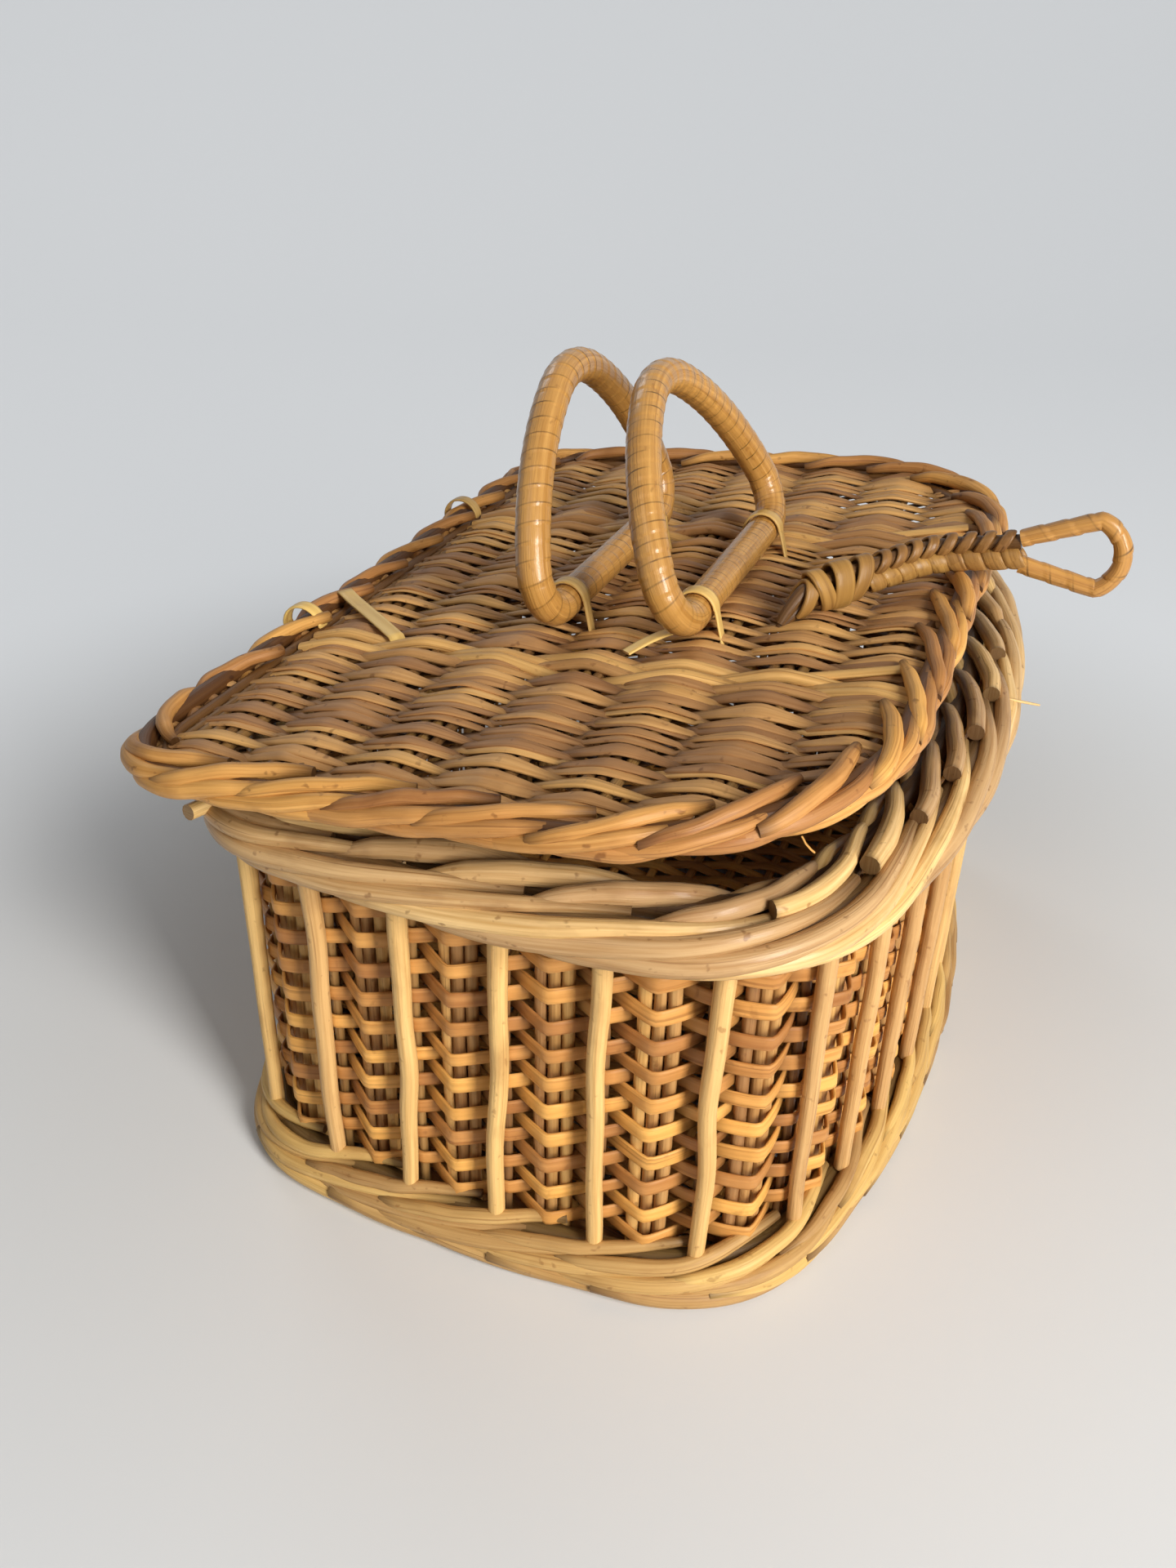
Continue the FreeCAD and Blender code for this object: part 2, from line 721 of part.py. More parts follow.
def hasp_knuckle(centre, radius, width):
    return Part.makeCylinder(radius, width, centre - X_AXIS * (width / 2), X_AXIS)


def hasp_strands():
    """Two strands, one over the other, rounded at the end about the loop's axis."""
    centre = Vector(hasp_x, hasp_axis_y, hasp_root_z)
    width = 2 * hasp_strand_diameter
    corner = centre - Vector(width / 2, hasp_joint_radius + overrun, width)
    beyond = Part.makeBox(width, hasp_joint_radius + overrun, 2 * width, corner)
    beyond = beyond.cut(hasp_knuckle(centre, hasp_joint_radius, width + overrun))
    strands = []
    for level in (-1, 1):
        line = hasp_line(0, hasp_axis_y - hasp_joint_radius, level * strand_radius)
        strands.append(tipped(pipe(line, strand_radius - seat_clearance / 2).cut(beyond)))
    return strands


def hasp_binding():
    """Cane binding round both strands, from the root tie to the knuckle."""
    line = hasp_line(2 * hasp_tie_width, hasp_axis_y + hasp_joint_radius, 0)
    start = line[0].firstVertex(True).Point
    lift = Z_AXIS * strand_radius

    def sleeve(radius):
        section = belt(start + lift, radius, start - lift, radius, HASP_HEADING)
        return Part.Wire(line).makePipeShell([section], True, False)

    outside = sleeve(strand_radius + hasp_binding_thickness)
    return [tipped(outside.cut(sleeve(strand_radius)))]


def hasp_loop():
    """Teardrop of wrapped cane, cut clear of the knuckle that carries it."""
    axis_point = hasp_axis_point()
    bulb = axis_point - Y_AXIS * hasp_loop_bulb_reach
    half_gap = strand_radius
    spread = math.asin((hasp_loop_bulb_radius - half_gap) / hasp_loop_bulb_reach)
    points = []
    for level in (1, -1):
        square = Vector(0, math.sin(spread), level * math.cos(spread))
        run = Vector(0, -math.cos(spread), level * math.sin(spread))
        touch = bulb + square * hasp_loop_bulb_radius
        points.append((touch - run * (hasp_loop_bulb_reach * math.cos(spread)), touch))
    (top_root, top_touch), (low_root, low_touch) = points
    tip = bulb - Y_AXIS * hasp_loop_bulb_radius
    edges = [
        Part.LineSegment(top_root, top_touch).toShape(),
        Part.Arc(top_touch, tip, low_touch).toShape(),
        Part.LineSegment(low_touch, low_root).toShape(),
    ]
    loop = pipe(edges, strand_radius - seat_clearance / 2)
    room = hasp_knuckle(axis_point, hasp_joint_radius + moving_clearance, hasp_strand_diameter + overrun)
    return [loop.cut(room)]


def main():
    os.makedirs("parts", exist_ok=True)
    print("perimeter", round(PERIMETER, 1), "stake pitch", round(STAKE_PITCH, 2), "rows", row_count)
    print("lid weave from", round(panel_bottom, 3), "to", round(panel_top, 3), "crest", round(weaver_crest, 3))
    save("base_weave", [outline_plate(base_offset, 0, base_thickness)])
    save("foot_outer_rod", outline_rod(foot_outer_offset, foot_low_height, foot_radius))
    save("foot_inner_rod", outline_rod(foot_inner_offset, foot_low_height, foot_radius))
    save("foot_upper_rod", outline_rod(foot_outer_offset, foot_high_height, foot_radius))
    save("wall_sticks", wall_sticks())
    save("by_stakes", by_stakes())
    save("outer_stakes", outer_stakes())
    save("over_strips", strip_rows(True))
    save("under_strips", strip_rows(False))
    save("rim_outer_rod", outline_rod(rim_outer_offset, rim_outer_height, rim_radius))
    save("rim_crown_rod", outline_rod(rim_crown_offset, rim_crown_height, rim_radius))
    save("rim_inner_rod", outline_rod(rim_inner_offset, rim_crown_height, rim_radius))
    save("hinge_ties", hinge_ties())

    save("lid_border", on_lid(lid_border()))
    save("lid_hinge_rod", on_lid(lid_hinge_rod()))
    room = lid_room()
    near_band = -pairing_half_spacing - lid_slide
    far_band = pairing_half_spacing - lid_slide
    half_band = pairing_rod_width + weaver_gap
    near_end = panel_inset - lid_end_x - lid_slide
    far_end = lid_end_x - panel_inset - lid_slide
    save("lid_sticks", on_lid(lid_sticks(room)))
    save("lid_near_weave", on_lid(lid_weavers(room, near_end, near_band - half_band)))
    save("lid_middle_weave", on_lid(lid_weavers(room, near_band + half_band, far_band - half_band)))
    save("lid_far_weave", on_lid(lid_weavers(room, far_band + half_band, far_end)))
    save("near_pairing_rods", on_lid(pairing_rods(room, near_band)))
    save("far_pairing_rods", on_lid(pairing_rods(room, far_band)))
    save("front_handle_ties", on_lid(handle_tie_set(front_handle_y, 0)))
    save("back_handle_ties", on_lid(handle_tie_set(back_handle_y, 0)))
    save("hasp_strands", on_lid(hasp_strands()))
    save("hasp_binding", on_lid(hasp_binding()))
    save("hasp_root_tie", on_lid([hasp_tie(0)]))

    save("front_handle_core", on_lid(handle_core(front_handle_y, front_handle_angle)))
    save("front_handle_wrap", on_lid(handle_wrap(front_handle_y, front_handle_angle)))
    save("back_handle_core", on_lid(handle_core(back_handle_y, back_handle_angle)))
    save("back_handle_wrap", on_lid(handle_wrap(back_handle_y, back_handle_angle)))
    save("hasp_loop", on_lid(hasp_loop()))


main()
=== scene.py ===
# %% [markdown]
# # A wicker basket with a hinged lid
# This lesson dresses a measured model of a small willow and cane basket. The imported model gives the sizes
# and the bodies that move. Every rod, strip and wrap below is laid over it in the same frame, in the way
# a basket maker would lay it, because a weave only looks right when its pieces really pass over and under
# each other.

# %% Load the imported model
import math
import bpy
import numpy as np
from mathutils import Matrix


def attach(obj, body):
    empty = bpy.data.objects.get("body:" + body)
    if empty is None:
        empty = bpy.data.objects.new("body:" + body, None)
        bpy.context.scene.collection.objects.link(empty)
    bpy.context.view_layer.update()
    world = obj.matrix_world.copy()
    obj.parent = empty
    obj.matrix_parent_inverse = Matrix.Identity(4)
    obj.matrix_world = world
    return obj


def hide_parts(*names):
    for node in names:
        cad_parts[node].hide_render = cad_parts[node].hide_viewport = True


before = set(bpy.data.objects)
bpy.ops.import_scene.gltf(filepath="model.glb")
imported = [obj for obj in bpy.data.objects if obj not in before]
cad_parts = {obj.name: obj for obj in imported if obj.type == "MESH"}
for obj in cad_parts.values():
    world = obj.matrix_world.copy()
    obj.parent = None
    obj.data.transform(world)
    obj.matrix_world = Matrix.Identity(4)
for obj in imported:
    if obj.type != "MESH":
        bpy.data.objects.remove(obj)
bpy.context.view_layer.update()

# %% [markdown]
# ## The camera
# The photograph was taken from the near end, a little above the lid. A pinhole camera was fitted to the
# outline of the foot, the rim and the lid, and its place and turn are written here as plain numbers.
# Setting it first means that every later step can be judged against the photograph.

# %% Camera at the photograph's angle
MM = 0.001
PHOTO_HEIGHT = 1920
FOCAL_PIXELS = 1641.83
CAMERA_PLACE = np.array([-414.63, -131.95, 341.06])
CAMERA_YAW, CAMERA_PITCH, CAMERA_ROLL = (math.radians(angle) for angle in (21.04, 30.80, 1.44))
SENSOR = 36.0


def camera_axes():
    """Right, up and back directions of the camera in the model's frame."""
    level = np.array([math.cos(CAMERA_YAW), math.sin(CAMERA_YAW), 0])
    ahead = math.cos(CAMERA_PITCH) * level - math.sin(CAMERA_PITCH) * np.array([0, 0, 1])
    right = np.array([math.sin(CAMERA_YAW), -math.cos(CAMERA_YAW), 0])
    up = np.cross(right, ahead)
    rolled_right = math.cos(CAMERA_ROLL) * right + math.sin(CAMERA_ROLL) * up
    rolled_up = math.cos(CAMERA_ROLL) * up - math.sin(CAMERA_ROLL) * right
    return rolled_right, rolled_up, -ahead


lens = bpy.data.cameras.new("photo_camera")
lens.sensor_width = SENSOR
lens.lens = FOCAL_PIXELS * SENSOR / PHOTO_HEIGHT
camera = bpy.data.objects.new("photo_camera", lens)
bpy.context.scene.collection.objects.link(camera)
turn = Matrix(np.column_stack(camera_axes()).tolist()).to_4x4()
turn.translation = (CAMERA_PLACE * MM).tolist()
camera.matrix_world = turn
bpy.context.scene.camera = camera
print("lens %.2f mm" % lens.lens)

# %% [markdown]
# ## Lines to weave along
# The wall follows an oblong with bowed sides, and the lid follows a rounded rectangle. Both are closed
# chains of arcs, with straight runs between them. Blender curves could draw them, but a weave needs to
# ask where a point lies at a distance along the line and which way is outward there, so a finely sampled
# table is handier.

# %% Outlines in plan
SAMPLE = 0.5
FEWEST_SAMPLES = 8


def run_lengths(points):
    """Distance along a line of points at each of them."""
    return np.concatenate([[0], np.cumsum(np.linalg.norm(np.diff(points, axis=0), axis=1))])


class Outline:
    """A closed line in plan, run counter-clockwise, that gives points and outward directions along it."""

    def __init__(self, arcs):
        points, normals = [], []
        for (x, y, radius, start, sweep), following in zip(arcs, arcs[1:] + arcs[:1]):
            angles = start + sweep * np.linspace(0, 1, max(FEWEST_SAMPLES, int(radius * sweep / SAMPLE)))
            outward = np.column_stack([np.cos(angles), np.sin(angles)])
            arc = np.array([x, y]) + radius * outward
            points.append(arc)
            normals.append(outward)
            next_x, next_y, next_radius, next_start = following[:4]
            heading = np.array([math.cos(next_start), math.sin(next_start)])
            head = np.array([next_x, next_y]) + next_radius * heading
            count = int(np.linalg.norm(head - arc[-1]) / SAMPLE)
            if count > 1:
                share = np.linspace(0, 1, count, endpoint=False)[1:, None]
                points.append(arc[-1] + share * (head - arc[-1]))
                normals.append(np.repeat(outward[-1:], count - 1, axis=0))
        points, normals = np.concatenate(points), np.concatenate(normals)
        closed = np.vstack([points, points[:1]])
        self.stations = run_lengths(closed)
        self.length = self.stations[-1]
        self.table = np.column_stack([closed, np.vstack([normals, normals[:1]])])

    def columns(self, distance, wanted):
        """Columns of the table at each distance along the line."""
        return [np.interp(distance % self.length, self.stations, self.table[:, column]) for column in wanted]

    def outward(self, distance):
        """Outward direction, with a zero height, at each distance along the line."""
        x, y = self.columns(distance, (2, 3))
        return np.column_stack([x, y, np.zeros_like(x)])

    def place(self, distance, offset, height):
        """Points at distances along the line, moved outward by an offset, at a height."""
        x, y = self.columns(distance, (0, 1))
        flat = np.column_stack([x, y, np.zeros_like(x) + height])
        return flat + self.outward(distance) * np.reshape(offset, (-1, 1))


print("outlines are sampled every %.1f mm" % SAMPLE)

# %% Wall outline
HALF_LENGTH, HALF_WIDTH = 150.5, 105.0
END_BOW, SIDE_BOW = 360.0, 400.0
FRONT_CORNER, BACK_CORNER = 48.0, 32.0


def meeting_points(first, first_reach, second, second_reach):
    """The two points that lie at given distances from two centres."""
    span = second - first
    distance = np.linalg.norm(span)
    along = (first_reach ** 2 - second_reach ** 2 + distance ** 2) / (2 * distance)
    foot = first + span / distance * along
    square = np.array([-span[1], span[0]]) / distance * math.sqrt(first_reach ** 2 - along ** 2)
    return foot + square, foot - square


def wall_arcs():
    """Eight tangent arcs: the bowed sides and the corners between them, from the far end."""
    far, near = (HALF_LENGTH - END_BOW, 0), (END_BOW - HALF_LENGTH, 0)
    back, front = (0, HALF_WIDTH - SIDE_BOW), (0, SIDE_BOW - HALF_WIDTH)

    def corner(side_y, radius, x_sign):
        end, side = np.array([x_sign * far[0], 0]), np.array([0, side_y])
        picks = meeting_points(end, END_BOW - radius, side, SIDE_BOW - radius)
        return max(picks, key=lambda pick: pick[0] * x_sign - pick[1] * math.copysign(1, side_y))

    bends = [(back[1], BACK_CORNER, 1), (back[1], BACK_CORNER, -1),
             (front[1], FRONT_CORNER, -1), (front[1], FRONT_CORNER, 1)]
    corners = [corner(*bend) for bend in bends]
    sides = [(far, END_BOW), (back, SIDE_BOW), (near, END_BOW), (front, SIDE_BOW)]
    arcs = []
    for number in range(4):
        (side_x, side_y), side_radius = sides[number]
        before, after = corners[number - 1], corners[number]
        start = math.atan2(before[1] - side_y, before[0] - side_x)
        finish = math.atan2(after[1] - side_y, after[0] - side_x)
        arcs.append((side_x, side_y, side_radius, start, (finish - start) % math.tau))
        (next_x, next_y), next_radius = sides[(number + 1) % 4]
        turn_end = math.atan2(after[1] - next_y, after[0] - next_x)
        arcs.append((after[0], after[1], bends[number][1], finish, (turn_end - finish) % math.tau))
    return arcs


WALL = Outline(wall_arcs())
print("wall outline %.0f mm" % WALL.length)

# %% Lid outline
LID_END, LID_FRONT, HINGE_Y, HINGE_Z = 157.5, -99.2, 108.6, 152.6
LID_SLIDE = 8.0
LID_FRONT_BEND, LID_BACK_BEND = 74.0, 30.0
QUARTER = math.pi / 2
LID = Outline([
    (LID_END - LID_BACK_BEND - LID_SLIDE, HINGE_Y - LID_BACK_BEND, LID_BACK_BEND, 0, QUARTER),
    (LID_BACK_BEND - LID_END - LID_SLIDE, HINGE_Y - LID_BACK_BEND, LID_BACK_BEND, QUARTER, QUARTER),
    (LID_FRONT_BEND - LID_END - LID_SLIDE, LID_FRONT + LID_FRONT_BEND, LID_FRONT_BEND, 2 * QUARTER, QUARTER),
    (LID_END - LID_FRONT_BEND - LID_SLIDE, LID_FRONT + LID_FRONT_BEND, LID_FRONT_BEND, 3 * QUARTER, QUARTER),
])
print("lid outline %.0f mm" % LID.length)

# %% [markdown]
# ## Rods and strips
# Willow rods and split cane are long thin sweeps. Curve objects with a bevel would do for a few of them,
# but a basket holds hundreds, each with its own thickness and wobble, so one helper sweeps a section
# along a path with numpy and gathers the results into a single mesh. It also stores a grain map that runs
# along each rod, a tint for each rod, a mark on its cut ends, and a painted shade for a place where it
# dives between its neighbours and lies in their shadow. The materials read all four.

# %% Turning and wobbling
chance = np.random.default_rng(11)
LID_REST = math.radians(5.8)


def unit(vectors):
    """The same directions, each with a length of one."""
    return vectors / np.linalg.norm(vectors, axis=-1, keepdims=True)


def swing_lid(points):
    """Points of the shut, level lid, moved to where the lid stands open at rest."""
    along, up = points[:, 1] - HINGE_Y, points[:, 2] - HINGE_Z
    turned = points.copy()
    turned[:, 1] = HINGE_Y + along * math.cos(LID_REST) + up * math.sin(LID_REST)
    turned[:, 2] = HINGE_Z - along * math.sin(LID_REST) + up * math.cos(LID_REST)
    return turned


def wander(count, size, waves=3):
    """A smooth random wobble along a piece."""
    along = np.linspace(0, 1, count)
    wobble = np.zeros(count)
    for number in range(1, waves + 1):
        wobble += np.sin(math.tau * (along * number * chance.uniform(0.6, 1.4) + chance.random())) / number
    return wobble * size


print("the lid stands open by %.1f degrees" % math.degrees(LID_REST))

# %% Sweeping helper
GRAIN_SHIFT, GIRTH_OVER_RADIUS = 1000, 6


class Bundle:
    """Swept rods gathered into one mesh."""

    def __init__(self):
        self.points, self.loops, self.sizes, self.grain = [], [], [], []
        self.tints, self.cuts, self.painted_shades = [], [], []
        self.count = 0

    def store(self, points, loops, sizes, grain, cut, tint, grime):
        """Keep the points and the faces of a skin or of a cut end."""
        self.points.append(points)
        self.loops.append(loops + self.count)
        self.sizes.append(sizes)
        self.grain.append(grain)
        for values, value in ((self.cuts, cut), (self.tints, tint), (self.painted_shades, grime)):
            values.append(np.full(len(points), value, dtype=float))
        self.count += len(points)

    # The last argument gives the painted shade at each ring, which darkens the rod where it lies in shadow
    def add(self, path, half_width, half_thick=None, up=(0, 0, 1), sides=8, power=2.0, closed=False,
            tint=None, swell=None, grime=0.0):
        """Sweep a rounded section along a path; up is the direction of its thickness."""
        path = np.asarray(path, dtype=float)
        rings = len(path)
        half_width = np.broadcast_to(half_width, rings)
        half_thick = half_width if half_thick is None else np.broadcast_to(half_thick, rings)
        grime = np.broadcast_to(grime, rings)
        if closed:
            ahead = unit(np.roll(path, -1, axis=0) - np.roll(path, 1, axis=0))
        else:
            ahead = unit(np.gradient(path, axis=0))
        across = unit(np.cross(ahead, np.broadcast_to(up, (rings, 3))))
        lift = np.cross(across, ahead)
        angles = math.tau * np.arange(sides) / sides
        circle = np.array([np.cos(angles), np.sin(angles)])
        wide, high = np.sign(circle) * np.abs(circle) ** (2 / power)
        grow = np.ones((rings, sides)) if swell is None else swell
        skin = (path[:, None] + across[:, None] * (half_width[:, None] * wide * grow)[..., None]
                + lift[:, None] * (half_thick[:, None] * high * grow)[..., None])
        girth = math.pi * float(np.mean(half_width) + np.mean(half_thick))
        shift = chance.uniform(0, GRAIN_SHIFT)
        tint = chance.random() if tint is None else tint

        last = rings if closed else rings - 1
        row, column = np.meshgrid(np.arange(last), np.arange(sides), indexing="ij")
        row, column = row.ravel(), column.ravel()
        next_row, next_column = (row + 1) % rings, (column + 1) % sides
        quads = np.column_stack([row * sides + column, row * sides + next_column,
                                 next_row * sides + next_column, next_row * sides + column])
        along = run_lengths(path)
        along = np.append(along, along[-1] + np.linalg.norm(path[0] - path[-1]))
        grain_along = along[np.column_stack([row, row, row + 1, row + 1])] + shift
        grain_round = np.column_stack([column, column + 1, column + 1, column]) / sides * girth
        grain = np.stack([grain_along, grain_round], axis=-1).reshape(-1, 2)
        self.store(skin.reshape(-1, 3), quads.ravel(), np.full(len(quads), 4), grain, 0, tint,
                   np.repeat(grime, sides))
        if not closed:
            for ring, order in ((0, np.arange(sides)[::-1]), (rings - 1, np.arange(sides))):
                grain = np.column_stack([wide, high])[order] * girth / GIRTH_OVER_RADIUS + shift
                self.store(skin[ring], order, np.array([sides]), grain, 1, tint, grime[ring])

    def build(self, name, finish, slot, body, nodes=(), on_lid=False):
        """One Blender object from the gathered rods, riding on a body and standing for its CAD nodes."""
        points = np.concatenate(self.points)
        points = (swing_lid(points) if on_lid else points) * MM
        loops = np.concatenate(self.loops).astype(np.int32)
        sizes = np.concatenate(self.sizes).astype(np.int32)
        mesh = bpy.data.meshes.new(name)
        mesh.vertices.add(len(points))
        mesh.vertices.foreach_set("co", points.ravel())
        mesh.loops.add(len(loops))
        mesh.loops.foreach_set("vertex_index", loops)
        mesh.polygons.add(len(sizes))
        mesh.polygons.foreach_set("loop_start", np.concatenate([[0], np.cumsum(sizes)[:-1]]).astype(np.int32))
        mesh.polygons.foreach_set("use_smooth", np.ones(len(sizes), dtype=bool))
        mesh.update(calc_edges=True)
        grain = mesh.uv_layers.new(name="grain")
        grain.data.foreach_set("uv", (np.concatenate(self.grain) * MM).ravel())
        # The tint, the cut mark and the painted shade go to the material as point attributes
        for label, values in (("tint", self.tints), ("cut", self.cuts), ("grime", self.painted_shades)):
            attribute = mesh.attributes.new(label, "FLOAT", "POINT")
            attribute.data.foreach_set("value", np.concatenate(values))
        mesh.materials.append(finishes[finish])
        piece = bpy.data.objects.new(name, mesh)
        bpy.context.scene.collection.objects.link(piece)
        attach(piece, body)
        if nodes:
            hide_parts(*nodes)
        print("%s: %d points on %s" % (name, len(points), body))


print("each rod's grain starts at its own place, up to %d mm along" % GRAIN_SHIFT)

# %% [markdown]
# ## Willow and cane
# Peeled willow is cream to tan, with fine streaks along the rod, brown stains near the knots and a pith
# where it is cut, pale on the stakes and dark with age on the borders. Split cane is flatter in colour
# and a little shinier. All of them are one recipe with other numbers: noise stretched along the grain map
# gives the streaks, a coarser noise gives the stains, and each rod's own tint makes it lighter or darker
# than its neighbours. An image could hold all this, but noise never repeats and scales freely. A small
# class adds the nodes, so that the recipe reads as a list of steps.

# %% Node helpers
class Recipe:
    """Adds nodes to a material or to the sky."""

    def __init__(self, owner):
        owner.use_nodes = True
        self.tree = owner.node_tree

    def fill(self, node, sockets):
        """Sets each socket of a node to a number or a colour, or links an output to it."""
        for label, value in sockets.items():
            if isinstance(value, (int, float)):
                node.inputs[label].default_value = value
            elif isinstance(value, tuple):
                node.inputs[label].default_value = (*value, 1)
            else:
                self.tree.links.new(value, node.inputs[label])

    def node(self, kind, sockets=None, **settings):
        """A new node with these settings and sockets."""
        made = self.tree.nodes.new(kind)
        for key, value in settings.items():
            setattr(made, key, value)
        self.fill(made, sockets or {})
        return made

    def calculated(self, operation, first, second=0):
        """Output of a calculation with one or two values."""
        return self.node("ShaderNodeMath", {0: first, 1: second}, operation=operation).outputs[0]

    def times(self, first, second):
        """Product of two values."""
        return self.calculated("MULTIPLY", first, second)

    def plus(self, first, second):
        """Sum of two values."""
        return self.calculated("ADD", first, second)

    def mixed(self, factor, first, second, blend="MIX"):
        """Two colours, mixed by a factor."""
        sockets = {0: factor, 6: first, 7: second}
        return self.node("ShaderNodeMix", sockets, data_type="RGBA", blend_type=blend).outputs[2]

    def ramp(self, value, low, high, most=1, easing="LINEAR"):
        """Rises from zero to the most while a value goes from low to high."""
        sockets = {"Value": value, "From Min": low, "From Max": high, "To Max": most}
        return self.node("ShaderNodeMapRange", sockets, interpolation_type=easing).outputs[0]


print("materials so far:", len(bpy.data.materials))

# %% Material recipe
# The first tone below is painted shade, multiplied into a rod's colour where it lies between its neighbours
PAINTED_SHADE_TONE = (0.085, 0.05, 0.028)
CUT_SHARE, PAINTED_SHADE_SHARE, SEAM_SHADE = 0.75, 0.92, 0.16
COAT_ROUGHNESS, SHEEN = 0.16, 0.26
BUMP_STRENGTH, BUMP_DISTANCE = 0.55, 0.0004


def plant_finish(name, light, dark, stain, roughness, streaks=1.0, stains=0.5, spread=0.3, coat=0.0,
                 seam=None, pith=None):
    """A streaked plant skin; seam darkens where the turns of a wrap meet, pith is the tone of a cut end."""
    material = bpy.data.materials.new(name)
    recipe = Recipe(material)
    times, plus, mixed, ramp = recipe.times, recipe.plus, recipe.mixed, recipe.ramp
    grain = recipe.node("ShaderNodeUVMap", uv_map="grain").outputs[0]
    grain_along, grain_round = recipe.node("ShaderNodeSeparateXYZ", {0: grain}).outputs[:2]
    tint, cut, grime = (recipe.node("ShaderNodeAttribute", attribute_name=label).outputs["Fac"]
                        for label in ("tint", "cut", "grime"))

    def noise(along, around, detail, depth):
        """Noise on the grain map, stretched by a count per metre each way, and different on every rod."""
        sockets = {0: times(grain_along, along), 1: times(grain_round, around), 2: times(tint, depth)}
        place = recipe.node("ShaderNodeCombineXYZ", sockets).outputs[0]
        sockets = {"Vector": place, "Scale": 1, "Detail": detail}
        return recipe.node("ShaderNodeTexNoise", sockets).outputs["Fac"]

    streak = noise(along=28, around=1100, detail=5, depth=91)
    fine = noise(along=160, around=2600, detail=3, depth=57)
    blotch = noise(along=42, around=90, detail=4, depth=33)
    speck = noise(along=260, around=330, detail=2, depth=71)
    crack = noise(along=11, around=1500, detail=2, depth=45)
    colour = mixed(ramp(streak, 0.5 - 0.22 * streaks, 0.5 + 0.2 * streaks), dark, light)
    colour = mixed(times(ramp(blotch, 0.56, 0.78), stains), colour, stain)
    colour = mixed(times(ramp(speck, 0.66, 0.74), stains), colour, stain)
    colour = mixed(times(ramp(crack, 0.60, 0.72), 0.55 * streaks), colour, stain)
    hue, shade = plus(times(tint, 0.016), 0.492), plus(times(tint, 2 * spread), 1 - spread)
    colour = recipe.node("ShaderNodeHueSaturation", {"Hue": hue, "Value": shade, "Color": colour}).outputs[0]
    pith = pith or tuple(min(1, 0.2 + 0.8 * channel) for channel in light)
    colour = mixed(times(cut, CUT_SHARE), colour, pith)
    # Painted shade: darkens the colour by each point's share of shade
    colour = mixed(times(grime, PAINTED_SHADE_SHARE), colour, PAINTED_SHADE_TONE, "MULTIPLY")
    if seam is not None:
        pitch, width = seam
        turns = plus(times(grain_along, 1 / pitch), times(grain_round, 1 / width))
        from_middle = recipe.calculated("SUBTRACT", recipe.calculated("FRACT", turns), 0.5)
        gap = ramp(recipe.calculated("ABSOLUTE", from_middle), 0.435, 0.492)
        uneven = ramp(noise(along=60, around=120, detail=2, depth=13), 0.34, 0.66)
        colour = mixed(times(gap, uneven), colour, tuple(channel * SEAM_SHADE for channel in dark))
    relief = plus(streak, times(fine, 0.6))
    bump = recipe.node("ShaderNodeBump", {
        "Strength": BUMP_STRENGTH, "Distance": BUMP_DISTANCE, "Height": relief})
    recipe.fill(recipe.tree.nodes["Principled BSDF"], {
        "Base Color": colour, "Roughness": plus(times(fine, 0.22), roughness - 0.11), "Coat Weight": coat,
        "Coat Roughness": COAT_ROUGHNESS, "Specular IOR Level": SHEEN, "Normal": bump.outputs[0]})
    return material


print("grime tone:", PAINTED_SHADE_TONE)

# %% Finishes
WRAP_PITCH, HANDLE_RADIUS = 5.6, 5.7
LOOP_WRAP_PITCH, LOOP_RADIUS = 7.4, 2.9
DARK_PITH = (0.13, 0.06, 0.022)


def wrap_seam(pitch, radius):
    """Length along and round a wrapped rod, in metres, of one turn of its wrap."""
    return pitch * MM, math.tau * radius * MM


